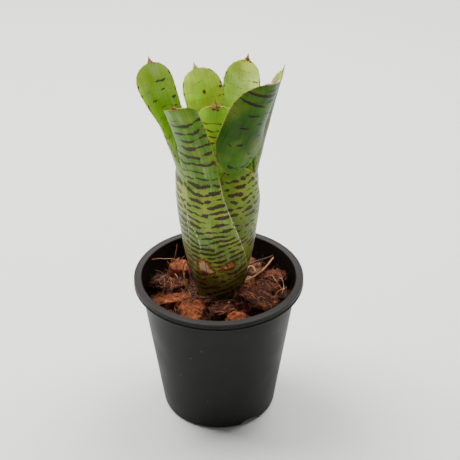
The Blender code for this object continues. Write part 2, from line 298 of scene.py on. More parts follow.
def finished(obj: bpy.types.Object, slot: Slot, *nodes: str) -> None:
    """Hands a finished piece to the frame, riding the pot's body.

    Args:
        obj: the piece.
        slot: its material slot in the record; not used.
        nodes: the CAD nodes that it stands for.
    """
    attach(obj, "root")
    if nodes:
        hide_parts(*nodes)
    log.info("%s: %d faces", obj.name, len(obj.data.polygons))


# ---------------------------------------------------------------- leaves
PLANT_ORIGIN = Vector((0.0, 0.0060, 0.0680))
LEAF_THICKNESS = 0.0010
LAYER_STEP = 0.0018
FOOT_RISE = 0.0035
SPINE_LENGTH = 0.0050
SPINE_WIDTH = 0.0006
SPINE_POINT = 0.00012
SPINE_FLARE = 0.0009                # length over which the tip draws out into the spine
MARGIN_THINS = 0.0015               # width over which a leaf thins to its margin
# Facts kept at each point of a leaf, in mm: across and along it from the middle of its neck, to its
# margin and to its tip; then shares, from 0 to 1: of the inner face, of the way from foot to tip and
# of the sheath; then the marks of pigment and wounds, and the painted highlights.
LEAF_FACTS = ("across", "along", "edge", "tip", "inner", "share", "sheath", "mark", "scar", "lime")
# Outside of the sheath of layer 1: height above the foot of the outermost sheath, and radius.
URN = ((0.000, 0.0108), (0.012, 0.0128), (0.024, 0.0153), (0.032, 0.0172), (0.040, 0.0196),
       (0.050, 0.0222), (0.062, 0.0245), (0.077, 0.0265), (0.092, 0.0282), (0.107, 0.0292),
       (0.118, 0.0292), (0.128, 0.0284), (0.138, 0.0278))


def sheath_radius(layer: int, z: float) -> float:
    """Mid-wall radius of a layer of sheaths at a height above the outermost foot."""
    return curve_through(URN, z) - LEAF_THICKNESS / 2 - (layer - 1) * LAYER_STEP


@dataclass(frozen=True)
class Mark:
    """Patch on a leaf, in mm. Pigment lies on the blade, and wounds and painted highlights on the sheath.
    """

    kind: MarkKind
    x: float                        # from the midrib; on a sheath, azimuth in degrees
    y: float                        # above the neck; on a sheath, above the ground
    wide: float                     # half width and half height
    high: float
    tilt: float = 0.0               # degrees, rising to the right
    strength: float = 1.0


def broken_bars() -> bpy.types.NodeTree:
    """Shader group: rows of tapered dashes across a leaf, as the pigment lies in crossbands.

    Returns:
        The group; its output is 1 on a dash and 0 beside it.
    """
    names = ("Across", "Along", "Spacing", "Chevron", "Centre", "Wave", "Dash", "Cover", "Thickness",
             "Seed")
    tree, add, take, out = new_tree("broken_bars", "Shader", dict.fromkeys(names, "Float"),
                                    {"Mask": "Float"})
    across, along, spacing, chevron, centre, wave, length, cover, thickness, seed = take[:len(names)]
    # A bar droops away from its middle line, with a round bend of about 3.5 mm there.
    offset = add("Math", (across, centre), operation="SUBTRACT")
    offset = add("Math", (offset, offset, 12.0), operation="MULTIPLY_ADD")
    offset = add("Math", (offset,), operation="SQRT")
    fall = add("Math", (offset, chevron), operation="MULTIPLY")
    level = add("Math", (along, fall), operation="SUBTRACT")
    level = add("Math", (level, spacing), operation="DIVIDE")
    # Bars wander over about 14 mm.
    place = add("CombineXYZ", (across, along, seed))
    wander = add("TexNoise", {"Vector": place, "Scale": 0.07, "Detail": 2.0})
    wander = add("Math", (wander, 0.5), operation="SUBTRACT")
    wander = add("Math", (wander, wave, level), operation="MULTIPLY_ADD")
    row = add("Math", (wander,), operation="FLOOR")
    inside = add("Math", (wander,), operation="FRACT")
    inside = add("Math", (inside, 0.5), operation="SUBTRACT")
    inside = add("Math", (inside,), operation="ABSOLUTE")
    # Each row has its own run of dashes.
    run = add("Math", (along, 0.9, across), operation="MULTIPLY_ADD")
    run = add("Math", (run, length), operation="DIVIDE")
    run = add("Math", (row, 3.71, run), operation="MULTIPLY_ADD")
    turn = add("Math", (row, 5.30), operation="MULTIPLY")
    dash = add("TexNoise", {"Vector": add("CombineXYZ", (run, turn, seed)), "Scale": 1.0, "Detail": 1.0})
    dash = add("Math", (dash, cover), operation="ADD")
    dash = add("Math", (dash, 1.0), operation="SUBTRACT")
    dash = add("Math", (dash, 5.0), operation="MULTIPLY", use_clamp=True)
    dash = add("Math", (dash, 0.6), operation="POWER")
    half = add("Math", (dash, thickness), operation="MULTIPLY")
    # Their edges are ragged over about 1 mm.
    rough = add("TexNoise", {"Vector": place, "Scale": 0.9, "Detail": 2.0})
    rough = add("Math", (rough, 0.5), operation="SUBTRACT")
    half = add("Math", (rough, 0.34, half), operation="MULTIPLY_ADD")
    gap = add("Math", (half, inside), operation="SUBTRACT")
    mask = add("MapRange", (gap, -0.03, 0.06), interpolation_type="SMOOTHSTEP")
    add(out, {"Mask": mask})
    return tree


@dataclass(frozen=True)
class LeafSkin:
    """Living leaf epidermis: waxy and half glossy, veined lengthwise, barred with purple pigment,
    with a dusting of silvery water-catching scales, and dry and brown where it has died back."""

    name: str
    outer: tuple                    # (share of the leaf from foot to tip, colour) of the back
    inner: tuple                    # the same for the face towards the tank
    bar: str = "381b17"
    spacing_mm: float = 6.0         # from bar to bar at the neck, closer at the foot
    chevron: float = 0.20           # rise of a bar for each mm away from its middle
    blade_chevron: float = 0.08
    centre_mm: float = 0.0
    dash_mm: float = 7.0
    cover: float = 0.60
    blade_cover: float = 0.50
    thickness: float = 0.27         # half height of a bar, as a share of the spacing
    inner_cover: float = 0.36
    plain_mm: float = 6.0           # plain length under the tip
    silver: float = 0.25            # strength of the scales
    # Colour of the sheath's margin line; set paler on the front-left leaf as a painted highlight.
    margin: str = "b4b550"
    yellow: float = 0.5             # how far patches turn yellow
    blot: str = "5a2a1e"            # single spots
    dead: tuple = ("7a4a26", "b58d4e", "cdb47c")
    burnt_mm: float = 1.5           # dead, tan length at the tip
    roughness: float = 0.40
    shine: float = 0.20
    seed: float = 0.0

    def build(self, bars: bpy.types.NodeTree) -> bpy.types.Material:
        """Makes the material.

        Args:
            bars: the shader group that draws the crossbands.
        Returns:
            The material, which reads the leaf's own attributes.
        """
        made, add, shader = new_material(self.name)
        across, along, edge, tip, inner, share, sheath, mark, scar, lime = (
            add("Attribute", attribute_name=fact).outputs["Fac"] for fact in LEAF_FACTS)
        place = add("CombineXYZ", (across, along, self.seed))
        squeezed = add("Math", (along, 0.04), operation="MULTIPLY")
        stretched = add("CombineXYZ", (across, squeezed, self.seed))
        # Noises in mm, so a scale is one over the size of a lump: clouds, yellow patches and groups of
        # scales of 8 to 18 mm, rubbed flecks and torn cork of 2 mm, ragged edges of 1.2 mm, margin dots
        # of 3 mm; then lengthwise veins 0.8 mm apart, streaks of scales 2 mm apart and cracks 1 mm apart.
        cloud, patch, patchy, rub, torn, ragged, dots, veins, streaks, crack = (
            add("TexNoise", {"Vector": vector, "Scale": scale, "Detail": detail, "Roughness": rough})
            for vector, scale, detail, rough in (
                (place, 0.12, 4.0, 0.5), (place, 0.055, 2.0, 0.5), (place, 0.09, 3.0, 0.5),
                (place, 0.50, 4.0, 0.6), (place, 0.45, 6.0, 0.72), (place, 0.8, 3.0, 0.5),
                (place, 0.35, 1.0, 0.5), (stretched, 1.3, 3.0, 0.5), (stretched, 0.55, 4.0, 0.65),
                (stretched, 0.9, 5.0, 0.5)))
        # Ground colour of both faces, clouded and veined.
        back, front = (add("ValToRGB", {"Fac": share}, stops=s) for s in (self.outer, self.inner))
        ground = add("Mix", (inner, back, front), data_type="RGBA")
        cloud = add("MapRange", (cloud, 0.3, 0.7, 0.80, 1.20))
        lined = add("MapRange", (veins, 0.3, 0.7, 0.90, 1.10))
        tone = add("Math", (cloud, lined), operation="MULTIPLY")
        ground = add("Mix", (1.0, ground, tone), data_type="RGBA", blend_type="MULTIPLY")
        patch = add("MapRange", (patch, 0.50, 0.68, 0.0, self.yellow))
        # Silvery scales lie in lengthwise streaks, thicker in some places than in others.
        patchy = add("MapRange", (patchy, 0.42, 0.62, self.silver * 0.35, self.silver),
                     interpolation_type="SMOOTHSTEP")
        streaks = add("MapRange", (streaks, 0.42, 0.70, 0.0, patchy), interpolation_type="SMOOTHSTEP")
        # Crossbands: longer and steeper on the sheath, closer at its foot, sparse on the inner face.
        cover = add("Mix", (sheath, self.blade_cover, self.cover))
        cover = add("Mix", (inner, cover, self.inner_cover))
        rise = add("Mix", (sheath, self.blade_chevron, self.chevron))
        weight = add("Mix", (sheath, self.thickness * 0.68, self.thickness))
        gap = add("MapRange", (along, -62.0, 0.0, self.spacing_mm * 0.80, self.spacing_mm))
        band = add("Group", node_tree=bars)
        add(band, {"Across": across, "Along": along, "Spacing": gap, "Chevron": rise, "Thickness": weight,
                   "Cover": cover, "Centre": self.centre_mm, "Wave": 1.5, "Dash": self.dash_mm,
                   "Seed": self.seed})
        room = add("MapRange", (tip, self.plain_mm, self.plain_mm + 1.5))
        band = add("Math", (band, room), operation="MULTIPLY")
        uneven = add("MapRange", (ragged, 0.35, 0.65, 0.86, 1.0))
        band = add("Math", (band, uneven), operation="MULTIPLY")
        spot = add("Math", (ragged, 0.7, mark), operation="MULTIPLY_ADD")
        spot = add("MapRange", (spot, 0.55, 0.70), interpolation_type="SMOOTHSTEP")
        # The foot is mottled with brown where the husk rubs it.
        low = add("MapRange", (share, 0.28, 0.60, 0.51, 0.80))
        rub = add("Math", (rub, low), operation="SUBTRACT")
        rub = add("MapRange", (rub, 0.0, 0.05, 0.0, 0.8))
        # Pale horny margin line, fainter on the blade and in the husk, dotted with brown; on the sheath
        # it is whitened as a painted highlight along the margin's ridge.
        line = add("MapRange", (edge, 0.7, 0.35, 0.0, 0.85))
        rim = add("Mix", (sheath, "a09a48", self.margin), data_type="RGBA")
        faint = add("MapRange", (cloud, 0.8, 1.2, 0.1, 1.2))
        buried = add("MapRange", (share, 0.27, 0.46, 0.12, 1.0))
        faint = add("Math", (faint, buried), operation="MULTIPLY")
        line = add("Math", (line, faint), operation="MULTIPLY", use_clamp=True)
        reach = add("MapRange", (dots, 0.55, 0.66, 0.0, 1.3))
        dots = add("Math", (reach, edge), operation="SUBTRACT")
        dots = add("MapRange", (dots, 0.0, 0.3, 0.0, 0.85))
        # The apex has died back: straw, with a brown front towards the living tissue.
        dead = add("Math", (ragged, 4.0, tip), operation="MULTIPLY_ADD")
        dead = add("MapRange", (dead, self.burnt_mm + 2.6, self.burnt_mm + 1.6))
        straw = add("ValToRGB", {"Fac": ragged}, stops=tuple(zip((0.35, 0.50, 0.65), self.dead)))
        # Old wounds: corky tan with an orange-brown rim and a dark crack.
        wound = add("Math", (torn, 1.3, scar), operation="MULTIPLY_ADD")
        wound = add("Math", (wound, 0.45), operation="SUBTRACT")
        cork = add("ValToRGB", {"Fac": wound}, stops=((0.40, "42200f"), (0.60, "7c421c"),
                                                      (0.82, "b07a48"), (1.0, "d6b28a")))
        crack = add("MapRange", (crack, 0.53, 0.60, 0.0, 0.7))
        cork = add("Mix", (crack, cork, "6b3820"), data_type="RGBA")
        hurt = add("MapRange", (wound, 0.42, 0.52))
        # Painted highlight: broken white streaks standing in for glints of light along the sheath.
        crust = add("Math", (torn, 1.2, lime), operation="MULTIPLY_ADD")
        crust = add("MapRange", (crust, 1.05, 1.40, 0.0, 0.8))
        for factor, colour in (
                (patch, "b0ae30"), (streaks, "bcc3a0"), (band, self.bar), (spot, self.blot),
                (rub, "80562a"), (line, rim), (dots, "6b3424"), (dead, straw), (hurt, cork),
                (crust, "dfe4d4")):
            ground = add("Mix", (factor, ground, colour), data_type="RGBA")
        dry = add("Math", (dead, hurt), operation="MAXIMUM")
        gloss = add("MapRange", (ragged, 0.3, 0.7, self.roughness - 0.06, self.roughness + 0.08))
        gloss = add("Mix", (dry, gloss, 0.75))
        relief = add("Math", (veins, 0.5), operation="MULTIPLY")
        relief = add("Math", (hurt, crack, relief), operation="MULTIPLY_ADD")
        bump = add("Bump", {"Height": relief, "Strength": 0.55, "Distance": 0.25 * MM})
        add(shader, {"Base Color": ground, "Roughness": gloss, "Normal": bump, "IOR": 1.45,
                     "Specular IOR Level": self.shine})
        return made


@dataclass
class Leaf:
    """One leaf: a sheath rolled round the plant's axis, and a channelled blade above it.

    Angles are in degrees, and heights are measured from the foot of the outermost sheath.
    """

    name: str
    azimuth: float                  # of the midrib, 0 at the front
    layer: int                      # 0 is the outermost sheath
    neck: float                     # where the blade leaves the sheath
    wrap_left: tuple                # how far the sheath reaches round at its foot and at the neck
    wrap_right: tuple
    wrap_power: float               # how soon it narrows
    length: float                   # of the blade
    lean: tuple                     # of the blade from upright, at the neck and at the tip
    heading: float                  # azimuth that it leans to
    facing: float                   # azimuth that its back faces at the tip
    width: tuple                    # midrib to margin, left and right
    grow: float                     # share of the blade at which it has its full width
    taper_from: tuple               # share at which each side starts to close
    channel: tuple                  # half angle of its cross-section at the neck, half way and the tip
    skin: LeafSkin
    marks: tuple = ()
    ripple: float = 0.0002          # unevenness of the sheet
    sheath_rows: int = 76
    blade_rows: int = 80
    spine_rows: int = 12
    columns: int = 60
    steps: int = 1920               # of the walk along the blade

    def half_width(self, side: int, neck_width: float, t: float) -> float:
        """Midrib to one margin.

        Args:
            side: 0 left, 1 right.
            neck_width: the same distance at the neck.
            t: share of the blade's length.
        Returns:
            The distance.
        """
        grown = mix(neck_width, self.width[side], 1 - (1 - min(1.0, t / self.grow)) ** 2)
        closing = max(0.0, t - self.taper_from[side]) / (1 - self.taper_from[side])
        blade = grown * math.sqrt(max(0.0, 1 - closing ** 2.6))
        # The tip draws out into the foot of the spine.
        left = (1 - t) * self.length
        drawn = SPINE_WIDTH * (1 + 2.2 * math.exp(-left / SPINE_FLARE))
        return (blade ** 2 + drawn ** 2) ** 0.5

    def channel_angle(self, t: float) -> float:
        """Half angle of the cross-section.

        Args:
            t: share of the blade's length.
        Returns:
            The angle in radians.
        """
        first, middle, last = self.channel
        if t < 0.5:
            return math.radians(mix(first, middle, smooth(t * 2)))
        return math.radians(mix(middle, last, smooth(t * 2 - 1)))

    def rows(self) -> list:
        """Cross-sections from foot to spine.

        Returns:
            For each: midrib point, inward normal, sideways vector, radius, left and right angle,
            length along the midrib from the neck, and length left to the tip.
        """
        rows, out = [], outward(self.azimuth)
        side = UP.cross(out)
        foot = self.layer * FOOT_RISE
        for i in range(self.sheath_rows):
            t = i / self.sheath_rows
            z = mix(foot, self.neck, t)
            left, right = (math.radians(mix(wrap[1], wrap[0], (1 - t) ** self.wrap_power))
                           for wrap in (self.wrap_left, self.wrap_right))
            radius = sheath_radius(self.layer, z)
            rows.append((out * radius + UP * z, -out, side, radius, left, right,
                         z - self.neck, self.length + self.neck - z))
        neck_radius = sheath_radius(self.layer, self.neck)
        necks = math.radians(self.wrap_left[1]), math.radians(self.wrap_right[1])
        point, heading = out * neck_radius + UP * self.neck, outward(self.heading)
        # Rows stand closer together towards the tip.
        wanted = [1 - (1 - i / self.blade_rows) ** 1.8 for i in range(self.blade_rows)] + [1.0]
        taken = 0
        for step in range(self.steps + 1):
            t = step / self.steps
            lean = math.radians(mix(self.lean[0], self.lean[1], t))
            tangent = heading * math.sin(lean) + UP * math.cos(lean)
            if taken < len(wanted) and t >= wanted[taken] - 1e-9:
                upright = UP.lerp(tangent, smooth(t / 0.45)).normalized()
                across = UP.cross(outward(mix(self.azimuth, self.facing, smooth(t))))
                inward = upright.cross(across).normalized()
                sideways = inward.cross(upright)
                channel_radius = sum(self.width) / 2 / self.channel_angle(t)
                radius = mix(neck_radius, channel_radius, smooth(t * 2))
                left, right = (self.half_width(s, neck_radius * necks[s], t) / radius for s in (0, 1))
                rows.append((point.copy(), inward, sideways, radius, left, right,
                             t * self.length, (1 - t) * self.length))
                taken += 1
            point += tangent * (self.length / self.steps)
        half = rows[-1][4] * radius
        for i in range(1, self.spine_rows + 1):
            share = i / self.spine_rows
            point = point + tangent * (SPINE_LENGTH / self.spine_rows)
            width = mix(half, SPINE_POINT, 1 - (1 - share) ** 1.5) / radius
            rows.append((point.copy(), inward, sideways, radius, width, width,
                         self.length + SPINE_LENGTH * share, -SPINE_LENGTH * share))
        return rows

    def mark_field(self, kind: MarkKind, across: np.ndarray, along: np.ndarray) -> np.ndarray:
        """Height of a cone over each mark of a kind: 1 at its middle and 0 past its edge.

        Args:
            kind: which marks.
            across: mm from the midrib, at each point.
            along: mm from the neck, at each point.
        Returns:
            The height at each point.
        """
        heights = np.zeros_like(across)
        for mark in (m for m in self.marks if m.kind is kind):
            x, y = mark.x, mark.y
            if mark.kind is not MarkKind.PIGMENT:
                z = y * MM - PLANT_ORIGIN.z
                x, y = (math.radians(x - self.azimuth) * sheath_radius(self.layer, z) / MM,
                        (z - self.neck) / MM)
            c, s = math.cos(math.radians(mark.tilt)), math.sin(math.radians(mark.tilt))
            dx, dy = across - x, along - y
            reach = np.hypot((dx * c + dy * s) / mark.wide, (dy * c - dx * s) / mark.high)
            heights = np.maximum(heights, np.clip(1.3 - reach, 0, 1) * mark.strength)
        return heights

    def build(self, bars: bpy.types.NodeTree) -> tuple[bpy.types.Object, list, list]:
        """Makes the leaf as one closed sheet with its facts as attributes, and dresses it.

        Args:
            bars: the shader group that draws the crossbands.
        Returns:
            The leaf, the line of each of the blade's margins, and the outward ways along each.
        """
        rows = self.rows()
        a = np.linspace(-1, 1, self.columns + 1)
        a = np.sign(a) * (1 - (1 - np.abs(a)) ** 1.25)
        middle, inward, sideways = (np.array([row[k][:] for row in rows]) for k in (0, 1, 2))
        radius, left, right, along, to_tip = (np.array([row[k] for row in rows]) for k in range(3, 8))
        angle = np.where(a[None] > 0, right[:, None], left[:, None]) * a[None]
        r = radius[:, None, None]
        points = (middle[:, None] + inward[:, None] * (r * (1 - np.cos(angle))[..., None])
                  + sideways[:, None] * (r * np.sin(angle)[..., None]))
        normal = np.cross(np.gradient(points, axis=1), np.gradient(points, axis=0))
        normal /= np.linalg.norm(normal, axis=2, keepdims=True)
        width = np.where(a[None] > 0, right[:, None], left[:, None]) * radius[:, None]
        edge = (1 - np.abs(a)[None]) * width
        wave = np.array([[fractal(Vector(p) + Vector((self.layer, 0, 0)), 14, 2) for p in line]
                         for line in points])
        points = points + normal * (wave * self.ripple)[..., None]
        # The sheet thins to its margin, and along the spine.
        thick = LEAF_THICKNESS * (0.35 + 0.65 * np.clip(edge / MARGIN_THINS, 0, 1) ** 0.5)
        thick = np.minimum(thick, 0.0003 + 0.9 * width)
        outer = points + normal * (thick / 2)[..., None]
        inner = points - normal * (thick / 2)[..., None]
        n_rows, n_cols = points.shape[:2]
        ring = np.concatenate([outer, inner[:, ::-1]], axis=1)
        size = ring.shape[1]
        faces = [(i * size + j, i * size + (j + 1) % size, (i + 1) * size + (j + 1) % size,
                  (i + 1) * size + j) for i in range(n_rows - 1) for j in range(size)]
        last = (n_rows - 1) * size
        for j in range(n_cols - 1):
            faces.append((size - 1 - j, size - 2 - j, j + 1, j))
            faces.append((last + j, last + j + 1, last + size - 2 - j, last + size - 1 - j))
        mesh = bpy.data.meshes.new(self.name + "_skin")
        mesh.from_pydata((ring.reshape(-1, 3) + np.array(PLANT_ORIGIN)).tolist(), [], faces)
        mesh.shade_smooth()
        across = angle * radius[:, None] / MM
        along, to_tip = (np.broadcast_to(v[:, None], across.shape) / MM for v in (along, to_tip))
        whole = (self.length + self.neck - self.layer * FOOT_RISE) / MM
        facts = {"across": across, "along": along, "edge": edge / MM, "tip": to_tip,
                 "share": 1 - to_tip / whole, "sheath": np.clip(0.5 - along / 8, 0, 1),
                 **{kind.value: self.mark_field(kind, across, along) for kind in MarkKind}}
        for name, values in facts.items():
            keep_values(mesh, name, np.concatenate([values, values[:, ::-1]], axis=1).ravel())
        keep_values(mesh, "inner", np.tile(np.repeat([0.0, 1.0], n_cols), n_rows))
        face_outward(mesh)
        mesh.materials.append(self.skin.build(bars))
        # Teeth stand along the blade, from a little below the neck to a little below the tip.
        toothed = slice(self.sheath_rows - 20, -10)
        margins = [points[toothed, k] for k in (0, -1)]
        ways = [points[toothed, k] - points[toothed, within] for k, within in ((0, 3), (-1, -4))]
        return add_object(mesh.name, mesh), margins, ways


def margin_spines() -> bpy.types.NodeTree:
    """Geometry Nodes tree: small cone-shaped teeth along a line, pointing along its "out_way" attribute.

    Returns:
        The tree.
    """
    tree, add, take, out = new_geometry_tree("margin_spines", "Spacing", "Length", "Width")
    line = add("MeshToCurve", {"Mesh": take["Geometry"]})
    line = add("ResampleCurve", {"Curve": line, "Length": take["Spacing"]}, mode="LENGTH")
    tooth = add("MeshCone", {"Vertices": 6, "Side Segments": 2, "Radius Top": 0.00003,
                             "Radius Bottom": take["Width"], "Depth": take["Length"]})
    way = add("InputNamedAttribute", {"Name": "out_way"}, data_type="FLOAT_VECTOR")
    turn = add("AlignRotationToVector", {"Vector": way}, axis="Z")
    size = add("RandomValue", {"Min": 0.55, "Max": 1.15, "Seed": take["Seed"]})
    placed = add("InstanceOnPoints", {"Points": line, "Instance": tooth.outputs["Mesh"], "Rotation": turn,
                                      "Scale": size})
    real = add("RealizeInstances", {"Geometry": placed})
    add(out, {"Geometry": add("SetMaterial", {"Geometry": real, "Material": take["Material"]})})
    return tree


def strewn_fibres() -> bpy.types.NodeTree:
    """Geometry Nodes tree: curved coir fibres strewn over a surface, lying nearly flat on it.

    Returns:
        The tree.
    """
    tree, add, take, out = new_geometry_tree(
        "strewn_fibres", "Density", "Length", "Radius", "Lift", "Stand", "Wall", "Slope", "Plant",
        "Plant Slope", "Plant Y")
    spread = add("DistributePointsOnFaces", {"Mesh": take["Geometry"], "Density": take["Density"],
                                             "Seed": take["Seed"]})
    # One bowed fibre, tapering to one end.
    half = add("Math", (take["Length"], 0.5), operation="MULTIPLY")
    back = add("Math", (half, -1.0), operation="MULTIPLY")
    bow = add("Math", (take["Length"], 0.35), operation="MULTIPLY")
    fibre = add("CurveQuadraticBezier", {"Resolution": 7, "Start": add("CombineXYZ", (back,)),
                                         "Middle": add("CombineXYZ", {1: bow, 2: take["Lift"]}),
                                         "End": add("CombineXYZ", (half,))})
    along = add("SplineParameter").outputs["Factor"]
    thin = add("MapRange", (along, 0.0, 1.0, 1.0, 0.45))
    fibre = add("SetCurveRadius", {"Curve": fibre, "Radius": thin})
    ring = add("CurvePrimitiveCircle", {"Resolution": 4, "Radius": take["Radius"]}).outputs["Curve"]
    tube = add("CurveToMesh", {"Curve": fibre, "Profile Curve": ring, "Fill Caps": True})
    # Each is turned, leant and sized at random.
    spin = add("RandomValue", {"Max": 6.283, "Seed": take["Seed"]})
    lean = add("RandomValue", {"Min": -0.2, "Max": take["Stand"], "Seed": take["Seed"]})
    local = add("EulerToRotation", {"Euler": add("CombineXYZ", {1: lean, 2: spin})})
    turn = add("RotateRotation", {"Rotation": spread.outputs["Rotation"], "Rotate By": local},
               rotation_space="LOCAL")
    size = add("RandomValue", {"Min": 0.35, "Max": 1.3, "Seed": take["Seed"]})
    placed = add("InstanceOnPoints", {"Points": spread.outputs["Points"], "Instance": tube,
                                      "Rotation": turn, "Scale": size})
    real = add("RealizeInstances", {"Geometry": placed})
    # Fibres bend along the pot's wall and round the plant.
    for centre_y, base, slope, choose in ((0.0, "Wall", "Slope", "MINIMUM"),
                                          (take["Plant Y"], "Plant", "Plant Slope", "MAXIMUM")):
        middle = add("CombineXYZ", {1: centre_y})
        place = add("VectorMath", (add("InputPosition"), middle), operation="SUBTRACT")
        axis = add("SeparateXYZ", {"Vector": place}).outputs
        level = add("CombineXYZ", (axis["X"], axis["Y"]))
        length = add("VectorMath", (level,), operation="LENGTH").outputs["Value"]
        limit = add("Math", (axis["Z"], take[slope], take[base]), operation="MULTIPLY_ADD")
        share = add("Math", (limit, length), operation="DIVIDE")
        share = add("Math", (share, 1.0), operation=choose)
        share = add("Math", (share, 1.0), operation="SUBTRACT")
        push = add("VectorMath", {0: level, "Scale": share}, operation="SCALE")
        real = add("SetPosition", {"Geometry": real, "Offset": push})
    add(out, {"Geometry": add("SetMaterial", {"Geometry": real, "Material": take["Material"]})})
    return tree


def strewn_crumbs() -> bpy.types.NodeTree:
    """Geometry Nodes tree: rough flat crumbs strewn over a surface, each with a "grain" of its own.

    Returns:
        The tree.
    """
    tree, add, take, out = new_geometry_tree("strewn_crumbs", "Density", "Size")
    spread = add("DistributePointsOnFaces", {"Mesh": take["Geometry"], "Density": take["Density"],
                                             "Seed": take["Seed"]})
    # One ball, pushed in and out over about 0.7 mm.
    ball = add("MeshIcoSphere", {"Radius": take["Size"], "Subdivisions": 2}).outputs["Mesh"]
    place = add("InputPosition")
    rough = add("TexNoise", {"Vector": place, "Scale": 1400.0, "Detail": 1.0})
    rough = add("MapRange", (rough, 0.3, 0.7, -0.55, 0.45))
    push = add("VectorMath", {0: place, "Scale": rough}, operation="SCALE")
    lump = add("SetPosition", {"Geometry": ball, "Offset": push})
    turn, size = (
        add("RandomValue", {"Min": low, "Max": high, "Seed": take["Seed"]}, data_type="FLOAT_VECTOR")
        for low, high in (((-0.5, -0.5, 0.0), (0.5, 0.5, 6.283)), ((0.5, 0.3, 0.2), (2.2, 0.9, 0.6))))
    placed = add("InstanceOnPoints", {"Points": spread.outputs["Points"], "Instance": lump,
                                      "Rotation": add("EulerToRotation", {"Euler": turn}), "Scale": size})
    real = add("RealizeInstances", {"Geometry": placed})
    in_mm = add("VectorMath", {0: place, "Scale": 1000.0}, operation="SCALE")
    kept = add("StoreNamedAttribute", {"Geometry": real, "Name": "grain", "Value": in_mm},
               data_type="FLOAT_VECTOR", domain="POINT")
    add(out, {"Geometry": add("SetMaterial", {"Geometry": kept, "Material": take["Material"]})})
    return tree


def strands_tree() -> bpy.types.NodeTree:
    """Geometry Nodes tree: poly-lines swept into tapering strands with a little wander.

    Returns:
        The tree.
    """
    tree, add, take, out = new_geometry_tree("strands", "Radius", "Wander")
    line = add("MeshToCurve", {"Mesh": take["Geometry"]})
    line = add("CurveSplineType", {"Curve": line}, spline_type="CATMULL_ROM")
    line = add("ResampleCurve", {"Curve": line, "Length": 0.0009}, mode="LENGTH")
    bend = add("TexNoise", {"W": take["Seed"], "Scale": 160.0, "Detail": 2.0}, noise_dimensions="4D")
    bend = add("VectorMath", (bend.outputs["Color"], (0.5, 0.5, 0.5)), operation="SUBTRACT")
    bend = add("VectorMath", {0: bend, "Scale": take["Wander"]}, operation="SCALE")
    line = add("SetPosition", {"Geometry": line, "Offset": bend})
    # Thickest at about a third of its length.
    along = add("SplineParameter").outputs["Factor"]
    off = add("Math", (add("Math", (along, 0.35), operation="SUBTRACT"),), operation="ABSOLUTE")
    thin = add("MapRange", (off, 0.0, 0.65, 1.0, 0.35))
    line = add("SetCurveRadius", {"Curve": line, "Radius": thin})
    ring = add("CurvePrimitiveCircle", {"Resolution": 5, "Radius": take["Radius"]}).outputs["Curve"]
    tube = add("CurveToMesh", {"Curve": line, "Profile Curve": ring, "Fill Caps": True})
    real = add("RealizeInstances", {"Geometry": tube})
    add(out, {"Geometry": add("SetMaterial", {"Geometry": real, "Material": take["Material"]})})
    return tree


def poly_lines(name: str, lines: list, ways: list | None = None) -> bpy.types.Object:
    """Object made of open lines.

    Args:
        name: the object's name.
        lines: the points of each line.
        ways: a direction for each point of each line, kept as "out_way".
    Returns:
        The object.
    """
    points = [Vector(p) for line in lines for p in line]
    edges, start = [], 0
    for line in lines:
        edges += [(start + i, start + i + 1) for i in range(len(line) - 1)]
        start += len(line)
    mesh = bpy.data.meshes.new(name)
    mesh.from_pydata(points, edges, [])
    if ways:
        keep_values(mesh, "out_way", np.array([w for line in ways for w in line]))
    return add_object(name, mesh)


